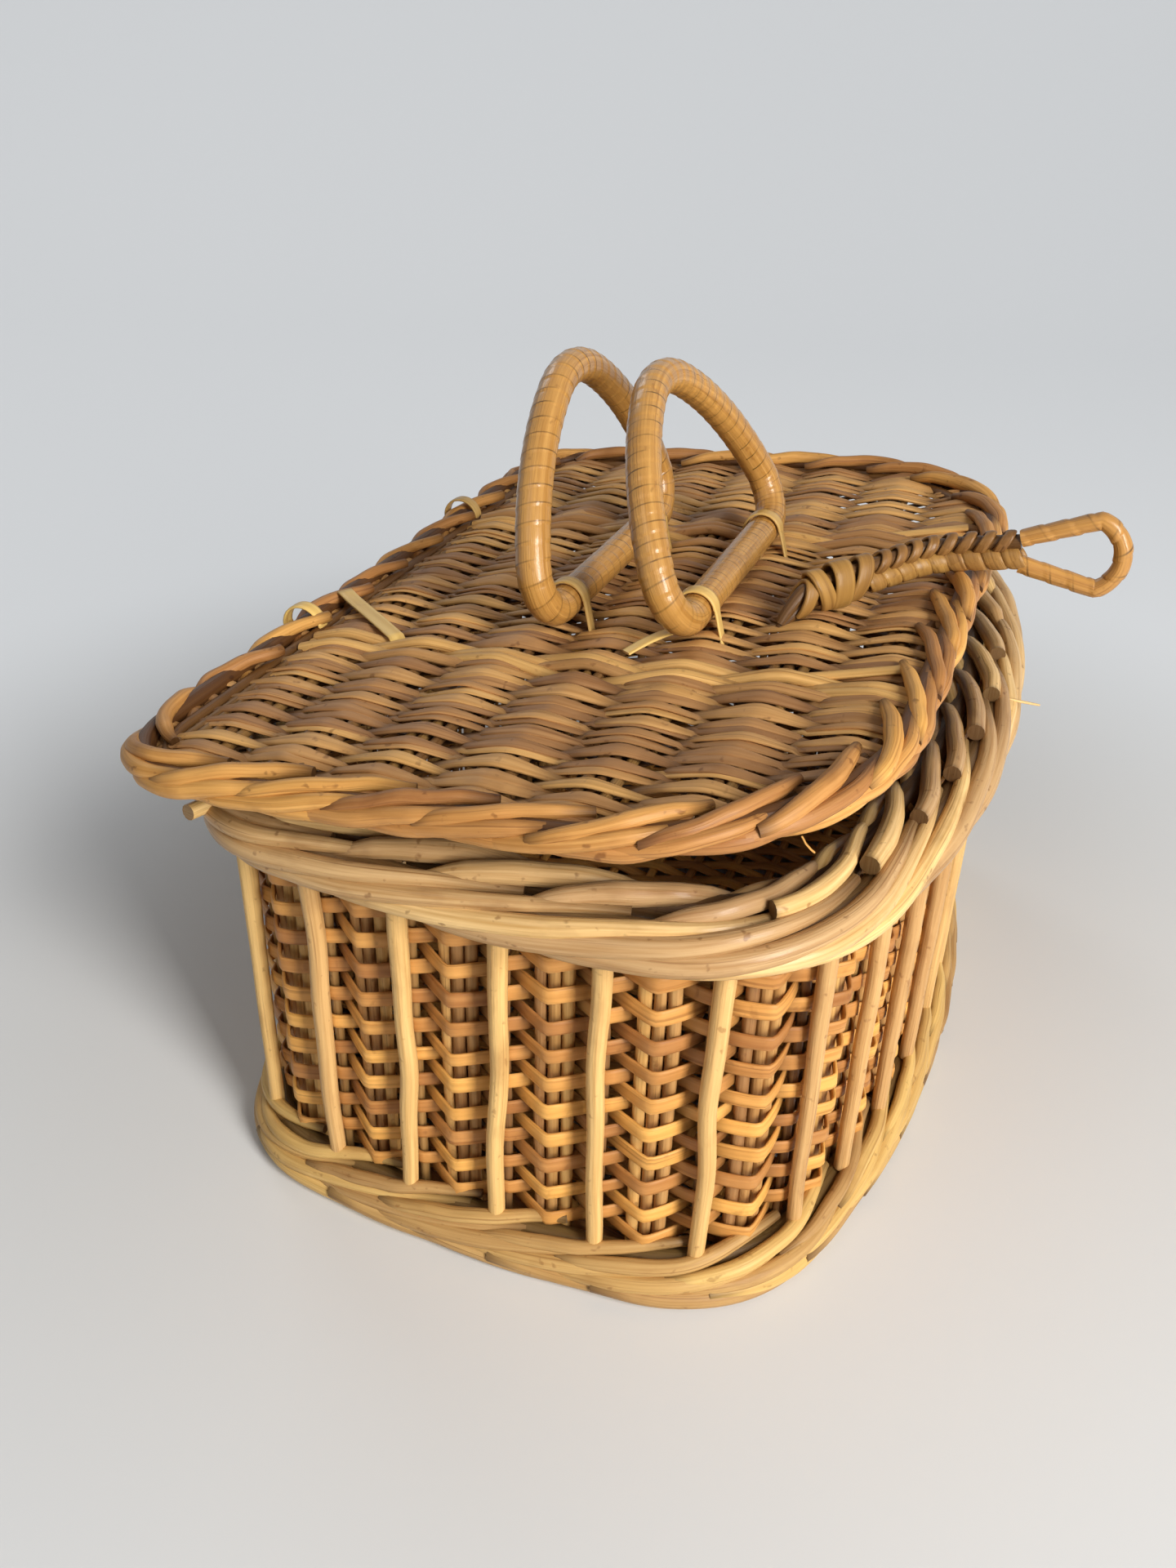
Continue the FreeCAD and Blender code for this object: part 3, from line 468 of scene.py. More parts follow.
# Light, dark and stained tone, roughness, and what departs from the plain recipe
FINISHES = {
    "strip_cane": ((0.7, 0.352, 0.101), (0.5, 0.216, 0.0504), (0.25, 0.0923, 0.021), 0.46, dict(stains=0.35)),
    "stick_willow": ((0.7, 0.405, 0.15), (0.5, 0.255, 0.0805), (0.24, 0.0967, 0.028), 0.50, {}),
    "stake_willow": ((0.74, 0.468, 0.19), (0.56, 0.318, 0.112), (0.29, 0.12, 0.034), 0.48, dict(spread=0.2)),
    "foot_willow": ((0.64, 0.405, 0.15), (0.47, 0.268, 0.086), (0.24, 0.104, 0.027), 0.47, dict(spread=0.24)),
    "rim_willow": ((0.73, 0.486, 0.226), (0.5, 0.282, 0.1), (0.21, 0.0853, 0.0224), 0.40,
                   dict(stains=0.6, coat=0.12, pith=DARK_PITH)),
    "edge_willow": ((0.64, 0.326, 0.101), (0.44, 0.196, 0.049), (0.17, 0.0565, 0.014), 0.46,
                    dict(stains=0.6, pith=DARK_PITH)),
    "lid_willow": ((0.62, 0.339, 0.13), (0.43, 0.211, 0.07), (0.16, 0.0602, 0.0168), 0.50,
                   dict(stains=0.6, spread=0.36)),
    "pair_willow": ((0.64, 0.365, 0.136), (0.47, 0.239, 0.077), (0.19, 0.0739, 0.021), 0.50, {}),
    "tie_cane": ((0.76, 0.51, 0.175), (0.6, 0.359, 0.101), (0.36, 0.17, 0.0455), 0.38,
                 dict(stains=0.2, coat=0.15)),
    "wrap_cane": ((0.6, 0.317, 0.084), (0.43, 0.203, 0.0434), (0.24, 0.0945, 0.021), 0.30,
                  dict(stains=0.4, streaks=0.8, coat=0.45, seam=wrap_seam(WRAP_PITCH, HANDLE_RADIUS))),
    "loop_cane": ((0.58, 0.302, 0.0805), (0.41, 0.189, 0.042), (0.2, 0.0756, 0.0175), 0.32,
                  dict(stains=0.4, coat=0.35, seam=wrap_seam(LOOP_WRAP_PITCH, LOOP_RADIUS))),
    "plait_cane": ((0.35, 0.18, 0.051), (0.21, 0.098, 0.0245), (0.11, 0.0425, 0.0105), 0.40,
                   dict(stains=0.5, spread=0.36, coat=0.1, pith=DARK_PITH)),
}
finishes = {}
for label, (light, dark, stain, roughness, extras) in FINISHES.items():
    finishes[label] = plant_finish(label, light, dark, stain, roughness, **extras)
print("materials:", len(bpy.data.materials))

# %% [markdown]
# ## The wall
# The wall is a plain weave. Flat strips of split cane go out over a group of three thin sticks and back
# behind the next by-stake, and the row above does the opposite. Each row is one closed ring here, with
# its offset from the wall swinging out and in, because the eye follows a strip round the corner and would
# notice where a copy stops.

# %% Wall strips
STAKES = 30
PITCH = WALL.length / STAKES
ROWS, ROWS_BOTTOM, ROWS_TOP = 22, 17.4, 135.7
ROW_PITCH = (ROWS_TOP - ROWS_BOTTOM) / ROWS
STRIP_CREST, STRIP_LOCK = 5.6, 2.9
STRIP_HALF_HEIGHT, STRIP_HALF_THICK = 2.62, 0.6
SAMPLES_PER_STAKE = 18
CREASE = 0.99
RAGGED, RAGGED_SPAN, RAGGED_WRAP = 0.28, 15, 20
STRIP_SHADE, STRIP_DRIFT, STRIP_TWIST = 0.85, 0.5, 0.06
BEHIND_FROM, BEHIND_SLOPE = 0.42, 0.95


def strip_ring(bundle, row):
    """One row of strip round the whole wall."""
    distance = np.linspace(0, WALL.length, STAKES * SAMPLES_PER_STAKE, endpoint=False)
    drift = distance + wander(len(distance), STRIP_DRIFT, 7)
    swing = -np.arcsin(CREASE * np.cos(math.tau * drift / PITCH)) / math.asin(CREASE)
    middle, reach = (STRIP_CREST - STRIP_LOCK) / 2, (STRIP_CREST + STRIP_LOCK) / 2
    offset = (middle + reach * swing) * (1 if row % 2 == 0 else -1)
    ragged = np.repeat(chance.normal(0, RAGGED, STAKES), SAMPLES_PER_STAKE)
    wrapped = np.concatenate([ragged[-RAGGED_WRAP:], ragged, ragged[:RAGGED_WRAP]])
    ragged = np.convolve(wrapped, np.ones(RAGGED_SPAN) / RAGGED_SPAN, "same")[RAGGED_WRAP:-RAGGED_WRAP]
    height = ROWS_BOTTOM + (row + 0.5) * ROW_PITCH + ragged
    lean = WALL.outward(distance) + np.outer(wander(len(distance), STRIP_TWIST, 5), [0, 0, 1])
    # Painted shade: STRIP_SHADE darkens a strip where it swings behind the sticks
    behind = np.clip(BEHIND_FROM - BEHIND_SLOPE * offset / reach, 0, 1)
    bundle.add(WALL.place(distance, offset, height), STRIP_HALF_HEIGHT + 0.5 * ragged, STRIP_HALF_THICK,
               up=lean, sides=10, power=3.6, closed=True, grime=STRIP_SHADE * behind)


over_rows, under_rows = Bundle(), Bundle()
for row in range(ROWS):
    strip_ring(over_rows if row % 2 == 0 else under_rows, row)
over_rows.build("strips_over_sticks", "strip_cane", "split_cane", "basket", ["over_strips"])
under_rows.build("strips_behind_sticks", "strip_cane", "split_cane", "basket", ["under_strips"])

# %% [markdown]
# ## Sticks and stakes
# Three thin sticks stand in each group, a hidden by-stake stands between the groups, and a thicker pale
# stake is pushed in outside it. Real stakes are never quite straight, so each gets a slow bend and a
# slight lean, and a square-cut foot that stands among the border's upper rods.

# %% Uprights
WALL_TOP = 139.0
UPRIGHT_SAMPLES = 22
# STICK_SHADE and BY_STAKE_SHADE are painted shade on the sticks and the hidden by-stakes, which stand behind
# the strips
STICK_RADIUS, STICK_SPACING, STICK_FOOT, STICK_BEND, STICK_SHADE = 1.95, 4.1, 8.6, 0.2, 0.22
BY_STAKE_RADIUS, BY_STAKE_SHADE = 1.5, 0.6
STAKE_RADIUS, STAKE_FOOT, STAKE_BEND, STAKE_LEAN, STAKE_TAPER = 2.8, 16.2, 0.5, 1.4, 0.82
STAKE_CLEARANCE, GIRTH_WOBBLE = 0.2, 0.025
STAKE_OFFSET = STRIP_LOCK + STRIP_HALF_THICK + STAKE_RADIUS + STAKE_CLEARANCE


def upright(bundle, distance, offset, bottom, top, radius, bend, lean, sides=10, taper=1.0, grime=0.0):
    """A standing rod, thinner towards its foot by a taper."""
    rise = np.linspace(0, 1, UPRIGHT_SAMPLES)
    drift = distance + wander(UPRIGHT_SAMPLES, bend) + lean * (rise - 0.5)
    girth = radius * (taper + (1 - taper) * rise) * (1 + wander(UPRIGHT_SAMPLES, GIRTH_WOBBLE, 5))
    path = WALL.place(drift, offset + wander(UPRIGHT_SAMPLES, bend * 0.3), bottom + (top - bottom) * rise)
    bundle.add(path, girth, up=WALL.outward(np.array([distance]))[0], sides=sides, grime=grime)


sticks, by_stakes, stakes = Bundle(), Bundle(), Bundle()
for number in range(STAKES):
    for side in (-1, 0, 1):
        place = (number + 0.5) * PITCH + side * STICK_SPACING
        radius = STICK_RADIUS * chance.uniform(0.93, 1.05)
        upright(sticks, place, 0, STICK_FOOT, WALL_TOP, radius, STICK_BEND, 0, grime=STICK_SHADE)
    upright(by_stakes, number * PITCH, 0, STICK_FOOT, WALL_TOP, BY_STAKE_RADIUS, STICK_BEND, 0,
            grime=BY_STAKE_SHADE)
    radius = STAKE_RADIUS * chance.uniform(0.96, 1.1)
    upright(stakes, number * PITCH, STAKE_OFFSET, STAKE_FOOT, WALL_TOP, radius, STAKE_BEND,
            chance.normal(0, STAKE_LEAN), sides=14, taper=STAKE_TAPER)
sticks.build("stick_groups", "stick_willow", "wall_stick", "basket", ["wall_sticks"])
by_stakes.build("hidden_by_stakes", "stick_willow", "wall_stick", "basket", ["by_stakes"])
stakes.build("pale_stakes", "stake_willow", "pale_willow", "basket", ["outer_stakes"])

# %% [markdown]
# ## Rolled borders
# The foot, the rim and the lid's edge are all rolled borders. A few rods start at each stake, run on past
# two to four more, and are tucked in under the rods that follow, most of them after a climb from the
# outside over the top. The lid's edge has no stakes, so its rods start at even steps. A twisted rope would
# look regular and wrong, so each rod gets its own path through a few points of the border's section.

# %% Border helper
BORDER_SAMPLES, CORE_SAMPLES, CORE_SHADE = 46, 360, 0.9
EASE = np.hanning(13) / np.hanning(13).sum()
EASE_REACH = len(EASE) // 2
# Shares along a border rod and the painted shade there, dark where its ends are tucked in under other rods
BURIED = ([0, 0.12, 0.8, 1], [0.75, 0, 0, 0.85])


def smooth_line(share, points):
    """Offsets and heights along a rod, eased between the points of a section."""
    shares, offsets, heights = np.array(points).T
    lines = np.array([np.interp(share, shares, values) for values in (offsets, heights)])
    padded = np.pad(lines, ((0, 0), (EASE_REACH, EASE_REACH)), mode="edge")
    return [np.convolve(line, EASE, "valid") for line in padded]


def rolled_border(bundle, outline, starts, reach, section, radius, taper, jitter, base=0.0, buried=BURIED):
    """Rods that start at distances along an outline and run on through the points of a section.

    Taper gives shares of the radius along a rod, and buried gives places along it and the painted shade
    there, which darkens the rod where it is tucked in.
    """
    for start in starts:
        share = np.linspace(0, 1, BORDER_SAMPLES)
        offset, height = smooth_line(share, section)
        offset = offset + wander(BORDER_SAMPLES, jitter) + chance.normal(0, jitter * 0.6)
        height = height + wander(BORDER_SAMPLES, jitter * 0.7)
        distance = start + chance.normal(0, 1.2) + reach * chance.uniform(0.93, 1.08) * share
        girth = np.interp(share, np.linspace(0, 1, len(taper)), taper) * radius * chance.uniform(0.88, 1.08)
        girth = girth * (1 + wander(BORDER_SAMPLES, GIRTH_WOBBLE, 5))
        path = outline.place(distance, offset, base + height)
        bundle.add(path, girth, up=outline.outward(distance), sides=12, grime=np.interp(share, *buried))


def core_rod(bundle, outline, offset, height, radius):
    """A closed rod inside a border, which its rods are wound over, darkened all along by painted shade."""
    distance = np.linspace(0, outline.length, CORE_SAMPLES, endpoint=False)
    path = outline.place(distance, np.full(CORE_SAMPLES, offset), height)
    bundle.add(path, radius, up=outline.outward(distance), sides=12, closed=True, grime=CORE_SHADE)


def spaced(outline, count, first=0.0):
    """Distances of evenly spaced starts along an outline."""
    return (np.arange(count) + first) * outline.length / count


print("border rods are eased over %d of their %d samples" % (len(EASE), BORDER_SAMPLES))

# %% Foot border
# Points of a rod: share of its length, offset outward from the wall, and height
FOOT_LOW = [(0, 12.0, 5.6), (0.2, 12.0, 4.6), (0.5, 11.2, 3.2), (0.8, 9.0, 3.0), (1, 5.0, 3.0)]
FOOT_MIDDLE = [(0, 9.8, 4.0), (0.25, 12.2, 7.4), (0.55, 11.6, 9.8), (0.8, 8.0, 12.6), (1, 3.6, 14.0)]
FOOT_HIGH = [(0, 10.4, 9.6), (0.25, 10.6, 13.2), (0.55, 9.0, 15.8), (0.8, 4.8, 18.0), (1, 2.6, 19.4)]
foot = Bundle()
for offset, height, radius in ((4.4, 12.2, 3.6), (8.0, 6.0, 3.2), (-0.6, 5.6, 3.0)):
    core_rod(foot, WALL, offset, height, radius)
for first, reach, section, radius, taper, jitter in (
        (0.05, 3.1, FOOT_LOW, 2.9, (1, 1, 0.95, 0.85), 0.2),
        (0.40, 3.0, FOOT_MIDDLE, 2.75, (0.8, 1, 1, 0.75), 0.3),
        (0.70, 2.1, FOOT_HIGH, 2.5, (0.8, 1, 0.95, 0.6), 0.35)):
    rolled_border(foot, WALL, spaced(WALL, STAKES, first), reach * PITCH, section, radius, taper, jitter)
foot.build("foot_border", "foot_willow", "foot_willow", "basket",
           ["foot_outer_rod", "foot_upper_rod", "foot_inner_rod"])

# %% Rim border
RIM_OUTSIDE = [(0, 8.0, 128.6), (0.1, 12.8, 128.8), (0.35, 15.4, 132.4), (0.62, 14.2, 137.4),
               (0.84, 10.2, 140.6), (1, 5.4, 139.6)]
RIM_LEAVES = [(0, 10.4, 138.0), (0.16, 8.0, 141.6), (0.4, 3.6, 143.0), (0.66, -1.6, 142.6),
              (0.86, -5.4, 139.6), (1, -7.2, 135.4)]
RIM_BUTTS = [(0, 8.2, 142.9), (0.2, 6.0, 143.3), (0.5, 1.6, 143.0), (0.74, -3.0, 141.4), (1, -7.2, 135.6)]
RIM_INSIDE = [(0, 1.0, 138.0), (0.4, -5.4, 138.6), (0.7, -7.2, 135.0), (1, -6.8, 130.0)]
# Painted shade along the blunt rods, as in BURIED
BUTT_BURIED = ([0, 0.03, 0.8, 1], [0.5, 0, 0, 0.85])
FEW_BUTTS, BUTTS_Y, BUTTS_X = 0.15, -60, 40
rim = Bundle()
for offset, height, radius in ((8.6, 135.4, 4.2), (-1.0, 137.6, 4.2)):
    core_rod(rim, WALL, offset, height, radius)
leaf_starts = spaced(WALL, STAKES, 0.35)
leaf_places = WALL.place(leaf_starts, 0.0, 0.0)
near_front = (leaf_places[:, 1] < BUTTS_Y) & (leaf_places[:, 0] < BUTTS_X)
blunt = (chance.random(STAKES) < FEW_BUTTS) | near_front
for starts, reach, section, radius, taper, jitter, buried in (
        (spaced(WALL, STAKES, 0.10), 4.2, RIM_OUTSIDE, 3.25, (0.9, 1, 1.02, 0.98, 0.75, 0.5), 0.35, BURIED),
        (leaf_starts[~blunt], 2.1, RIM_LEAVES, 3.15, (0.35, 0.95, 1.05, 1.0, 0.85, 0.5), 0.3, BURIED),
        (leaf_starts[blunt], 2.0, RIM_BUTTS, 2.95, (0.95, 1.05, 1.0, 0.85, 0.5), 0.25, BUTT_BURIED),
        (spaced(WALL, STAKES, 0.60), 2.0, RIM_INSIDE, 3.0, (0.8, 1, 0.9, 0.6), 0.3, BURIED)):
    rolled_border(rim, WALL, starts, reach * PITCH, section, radius, taper, jitter, buried=buried)
stub = np.linspace((-138.0, 82.0, 137.0), (-158.5, 86.5, 139.2), 8)
rim.add(stub, 2.4, sides=12, tint=1.0)
fibre = np.linspace((8.0, -117.0, 140.0), (11.0, -128.5, 138.4), 8)
rim.add(fibre, np.linspace(0.6, 0.35, len(fibre)), sides=6, tint=0.9)
rim.build("rim_border", "rim_willow", "rim_willow", "basket",
          ["rim_outer_rod", "rim_crown_rod", "rim_inner_rod"])

# %% [markdown]
# ## The lid's weave
# The lid is woven the other way: groups of thin sticks run along its length, and stouter willow weavers
# cross them, over one group and under the next. Neighbouring weavers alternate, so the humps form
# slanting steps. Each weaver follows a cosine with straighter flanks, since a stiff rod bends most where
# it lies on the sticks. Two pale pairs of twisted rods divide the lid.

# %% Lid weavers
LID_GROUPS, GROUP_FRONT, GROUP_PITCH = 7, -87.0, 29.0
LID_MIDDLE = 150.7
WEAVER_PITCH, WEAVER_CREST, WEAVER_SAMPLE, WEAVER_SHADE = 4.5, 2.95, 1.3, 0.95
WHOLE_WEAVER, SPLIT_WEAVER, SPLIT_CHANCE, LAYER_STEP = (2.65, 0.85), (2.0, 0.55), 0.5, 0.35
WEAVER_WAIST, WEAVER_FLARE, WEAVER_INSET = 0.62, 0.58, 2.0
FIRST_WEAVER, LAST_WEAVER = 6.0 - LID_END, LID_END - 5.0
BAND_SPACING, BAND_HALF = 64.0, 5.0


def lid_span(x, inset):
    """Front and back limits of the lid at a place along its length, inside its border."""
    def limit(bend, edge, sign):
        beyond = max(0.0, abs(x + LID_SLIDE) - (LID_END - bend))
        return edge - sign * (bend - math.sqrt(max(0.0, (bend - inset) ** 2 - beyond ** 2)))
    return limit(LID_FRONT_BEND, LID_FRONT, -1), limit(LID_BACK_BEND, HINGE_Y, 1)


def weaver_wave(y, number, crease):
    """Share of its crest that a weaver stands at, over one stick group and under the next."""
    phase = math.pi * ((y - GROUP_FRONT) / GROUP_PITCH + number)
    return np.arcsin(crease * np.cos(phase)) / math.asin(crease)


def lay_weaver(bundle, x, number):
    """One weaver across the lid, whole or split into thinner strands that lie on each other."""
    front, back = lid_span(x, WEAVER_INSET)
    y = np.linspace(front, back, int((back - front) / WEAVER_SAMPLE))
    split = chance.random() < SPLIT_CHANCE
    half_width, half_thick = SPLIT_WEAVER if split else WHOLE_WEAVER
    crest = WEAVER_CREST * chance.uniform(0.93, 1.05)
    lean = chance.normal(0, 0.12)
    for layer in ((-1, 1) if split else (0,)):
        drift = x + wander(len(y), 0.5, 5) + layer * chance.uniform(0.9, 1.5)
        wave = weaver_wave(y + wander(len(y), 0.7, 4), number, chance.uniform(0.93, 0.985))
        height = LID_MIDDLE + wave * crest + layer * LAYER_STEP * np.sign(wave)
        spread_out = WEAVER_WAIST + WEAVER_FLARE * np.abs(wave)
        half = half_width * chance.uniform(0.92, 1.1) * (1 + wander(len(y), 0.05, 5)) * spread_out
        thick = half_thick * chance.uniform(0.9, 1.1)
        # Painted shade: a weaver darkens on its flanks and where it dips under the sticks
        bundle.add(np.column_stack([drift, y, height]), half, thick, up=(lean, 0, 1), sides=12, power=2.4,
                   grime=WEAVER_SHADE * np.clip(0.5 - 1.05 * wave, 0, 1))


weavers = Bundle()
for number, x in enumerate(np.arange(FIRST_WEAVER, LAST_WEAVER, WEAVER_PITCH) - LID_SLIDE):
    if abs(abs(x + LID_SLIDE) - BAND_SPACING) > BAND_HALF:
        lay_weaver(weavers, x, number)
weavers.build("lid_weavers", "lid_willow", "lid_willow", "lid",
              ["lid_near_weave", "lid_middle_weave", "lid_far_weave"], on_lid=True)

# %% Lid stick groups
LID_STICK_RADIUS, LID_STICK_SPACING, LID_STICK_INSET, LID_STICK_SHADE = 1.65, 4.3, 2, 0.8
LID_STICK_SAMPLES = 60
HINGE_SIDE_STICKS = [95.4, 98.4]


def lid_reach(y):
    """Half the length of a stick that lies along the lid at a place across it, ending inside the border."""
    for bend, fall in ((LID_FRONT_BEND, LID_FRONT + LID_FRONT_BEND - y),
                       (LID_BACK_BEND, y - HINGE_Y + LID_BACK_BEND)):
        if fall > 0:
            return LID_END - bend + math.sqrt(max(0, (bend - LID_STICK_INSET) ** 2 - fall ** 2))
    return LID_END - LID_STICK_INSET


lid_sticks = Bundle()
stick_places = [GROUP_FRONT + group * GROUP_PITCH + stick * LID_STICK_SPACING
                for group in range(LID_GROUPS) for stick in (-1, 0, 1)]
for y in stick_places + HINGE_SIDE_STICKS:
    x = np.linspace(-lid_reach(y), lid_reach(y), LID_STICK_SAMPLES) - LID_SLIDE
    drift = y + wander(LID_STICK_SAMPLES, 0.3)
    path = np.column_stack([x, drift, LID_MIDDLE + wander(LID_STICK_SAMPLES, 0.15)])
    # Painted shade darkens the sticks, which lie under the weavers
    lid_sticks.add(path, LID_STICK_RADIUS * chance.uniform(0.92, 1.08), sides=10, grime=LID_STICK_SHADE)
lid_sticks.build("lid_stick_groups", "stick_willow", "wall_stick", "lid", ["lid_sticks"], on_lid=True)

# %% Pairing bands
BAND_SAMPLES, BAND_STRANDS, BAND_RADIUS, BAND_CREST, BAND_CREASE = 170, 4, 2.3, 2.6, 0.95
BAND_RISE, BAND_SHADE, BAND_FLATNESS, BAND_FRONT_INSET, BAND_BACK_INSET = 0.5, 0.8, 0.8, 1, 9
PAIR_SPACING, PAIR_TWIST, TORN_SAMPLES = 6.0, 2.2, 10
for label, x in (("near", -BAND_SPACING - LID_SLIDE), ("far", BAND_SPACING - LID_SLIDE)):
    band = Bundle()
    front, back = lid_span(x, 0.0)
    y = np.linspace(front + BAND_FRONT_INSET, back - BAND_BACK_INSET, BAND_SAMPLES)
    for strand in range(BAND_STRANDS):
        phase = math.pi * ((y - GROUP_FRONT) / GROUP_PITCH + strand)
        drift = x + (strand // 2 - 0.5) * PAIR_SPACING + np.sin(phase * 0.5 + strand) * PAIR_TWIST
        drift = drift + wander(BAND_SAMPLES, 0.3, 5)
        wave = weaver_wave(y, strand, BAND_CREASE)
        girth = BAND_RADIUS * chance.uniform(0.9, 1.08) * (1 + wander(BAND_SAMPLES, 0.03, 5))
        path = np.column_stack([drift, y, LID_MIDDLE + BAND_RISE + wave * BAND_CREST])
        # Painted shade where a strand dips under the stick groups
        band.add(path, girth, girth * BAND_FLATNESS, sides=12, grime=BAND_SHADE * np.clip(-wave, 0, 1))
    torn_root, torn_end = (x + 7, front + 34, LID_MIDDLE + 1.5), (x + 12, front + 7, LID_MIDDLE + 4.6)
    band.add(np.linspace(torn_root, torn_end, TORN_SAMPLES), np.linspace(1.7, 2.5, TORN_SAMPLES),
             np.linspace(1.4, 1.0, TORN_SAMPLES), sides=12, tint=1.0)
    band.build(label + "_pairing_band", "pair_willow", "pale_willow", "lid", [label + "_pairing_rods"],
               on_lid=True)

# %% Lid border
# Points of a rod as for the foot, with heights from the hinge's axis
LID_TOP = [(0, 3.4, -0.8), (0.2, 3.0, 1.6), (0.5, -0.6, 3.3), (0.8, -5.4, 3.3), (1, -9.0, 1.4)]
LID_SIDE = [(0, -2.0, -2.6), (0.15, 2.0, -3.2), (0.45, 3.9, -1.5), (0.75, 3.0, 1.0), (1, -0.6, 1.6)]
LID_LOW = [(0, -6.0, -3.0), (0.3, 0.5, -3.6), (0.6, 2.6, -3.2), (1, 0.6, -1.4)]
LID_ARCHES = [(0, -9.0, 2.6), (0.25, -2.0, 2.8), (0.5, 3.4, 1.0), (0.75, 0.8, -1.6), (1, -6.0, -2.2)]
LID_LOOPS, HINGE_STRIP = 34, 8
LOOP_STEP = LID.length / LID_LOOPS
edge = Bundle()
for offset, height, radius in ((0.0, HINGE_Z, 3.0), (-6.2, LID_MIDDLE, 2.2)):
    core_rod(edge, LID, offset, height, radius)
starts = spaced(LID, LID_LOOPS)
halfway = LID.place(starts + LOOP_STEP, 0.0, 0.0)
on_straight = np.abs(halfway[:, 0] + LID_SLIDE) < LID_END - LID_BACK_BEND
at_hinge = (halfway[:, 1] > HINGE_Y - HINGE_STRIP) & on_straight
for section, first, reach, radius in (
        (LID_TOP, 0.0, 1.6, 2.5), (LID_SIDE, 0.3, 2.1, 2.4), (LID_LOW, 0.6, 2.0, 2.3)):
    rolled_border(edge, LID, (starts + first * LOOP_STEP)[~at_hinge], reach * LOOP_STEP, section, radius,
                  (0.75, 1, 1.05, 0.95, 0.6), 0.3, base=HINGE_Z)
rolled_border(edge, LID, starts[at_hinge], 1.7 * LOOP_STEP, LID_ARCHES, 2.3, (0.8, 1, 1, 0.8), 0.3,
              base=HINGE_Z)
fibre = np.array([(-146.0, -84.0, 148.8), (-146.7, -85.2, 147.2), (-146.3, -86.3, 145.6),
                  (-145.2, -86.9, 144.2)])
edge.add(fibre, 0.28, up=(1, 0, 0), sides=6, tint=1.0)
edge.build("lid_border_rods", "edge_willow", "rim_willow", "lid", ["lid_border", "lid_hinge_rod"],
           on_lid=True)

# %% [markdown]
# ## The handles
# Each handle is a bent D of stout cane under a close wrap of shiny split cane. The wrap could be a bump
# map, but its edges catch the light along the outline, so the turns are real: the tube's radius steps at
# each turn of a helix, and the material darkens the same seam.

# %% Handle rings
BAR_HALF, CORNER, SHOULDER, TOP_BEND, RISE = 45.0, 13.0, 90.0, 34.0, 66.0
WEAVE_RISE, HANDLE_CLEARANCE = 3.609, 0.3
LID_SURFACE = LID_MIDDLE + WEAVE_RISE
HANDLE_Z = LID_SURFACE + HANDLE_CLEARANCE + HANDLE_RADIUS
HANDLE_SIDES, WRAP_STEP, WRAP_ALLOWANCE = 24, 0.24, 0.15
WRAP_UNEVEN, WRAP_WAVE, SEAM_HALF, SEAM_DEPTH = 0.25, 17.0, 0.07, 0.55


def handle_ring():
    """Centre line of the D, as across and up pairs, from the middle of the bar and back to it."""
    corner, top = np.array([BAR_HALF, CORNER]), np.array([0, RISE - TOP_BEND])
    shoulder = min(meeting_points(corner, SHOULDER - CORNER, top, SHOULDER - TOP_BEND), key=sum)

    def arc(centre, radius, start, finish):
        angles = np.linspace(start, finish, int(radius * abs(finish - start) / SAMPLE))
        return centre + radius * np.column_stack([np.cos(angles), np.sin(angles)])

    low = math.atan2(*(corner - shoulder)[::-1])
    high = math.atan2(*(top - shoulder)[::-1])
    bar = np.linspace((0, 0), (BAR_HALF, 0), int(BAR_HALF / SAMPLE))
    half = np.vstack([bar, arc(corner, CORNER, -QUARTER, low)[1:], arc(shoulder, SHOULDER, low, high)[1:],
                      arc(top, TOP_BEND, high, QUARTER)[1:]])
    other = half[::-1][1:-1] * np.array([-1, 1])
    return np.vstack([half, other])


def wrapped_swell(path, radius, pitch, sides, step):
    """Share by which a wrapped tube swells at each point, so that every turn overlaps the last."""
    along = run_lengths(path)
    turn = (along[:, None] / pitch + np.arange(sides) / sides) % 1
    uneven = 1 + WRAP_UNEVEN * np.sin(along / WRAP_WAVE)[:, None]
    notch = np.exp(-(np.minimum(turn, 1 - turn) / SEAM_HALF) ** 2)
    return 1 + (step * (turn - 0.5) - SEAM_DEPTH * step * notch) * uneven / radius


def place_handle(ring, bar_y, lean):
    """The D, leaned about its bar and set on the lid."""
    angle = math.radians(lean)
    across, rise = ring.T
    return np.column_stack([across, bar_y + rise * math.sin(angle), HANDLE_Z + rise * math.cos(angle)])


HANDLES = {"front": (-24.0, 20.0), "back": (20.0, 8.0)}
for label, (bar_y, lean) in HANDLES.items():
    ring = place_handle(handle_ring(), bar_y, lean)
    angle = math.radians(lean)
    handle = Bundle()
    swell = wrapped_swell(ring, HANDLE_RADIUS, WRAP_PITCH, HANDLE_SIDES, WRAP_STEP)
    handle.add(ring, HANDLE_RADIUS - WRAP_ALLOWANCE, up=(0, math.cos(angle), -math.sin(angle)),
               sides=HANDLE_SIDES, closed=True, tint=0.5, swell=swell)
    handle.build(label + "_handle_ring", "wrap_cane", "caramel_wrap", label + "_handle",
                 [label + "_handle_core", label + "_handle_wrap"], on_lid=True)

# %% [markdown]
# ## Ties
# Flat bands of pale cane hold the handle bars to the lid and the lid to the rim. A handle's band passes
# over the bar and down into the weave, with its legs splayed a little, and a hinge's band is closed round
# the lid's back rod and the rim. Each is a ribbon, the same sweep with a wide flat section. Two loose ends
# of cane that lie on the lid are ribbons too.

# %% Handle ties
TIE_X, TIE_CLEARANCE, TIE_FOOT_RISE = 39.0, 0.85, 0.1
TIE_TURNS, TIE_FALL = 22, 12
TIE_HALF_WIDTH, TIE_HALF_THICK = 2.8, 0.5
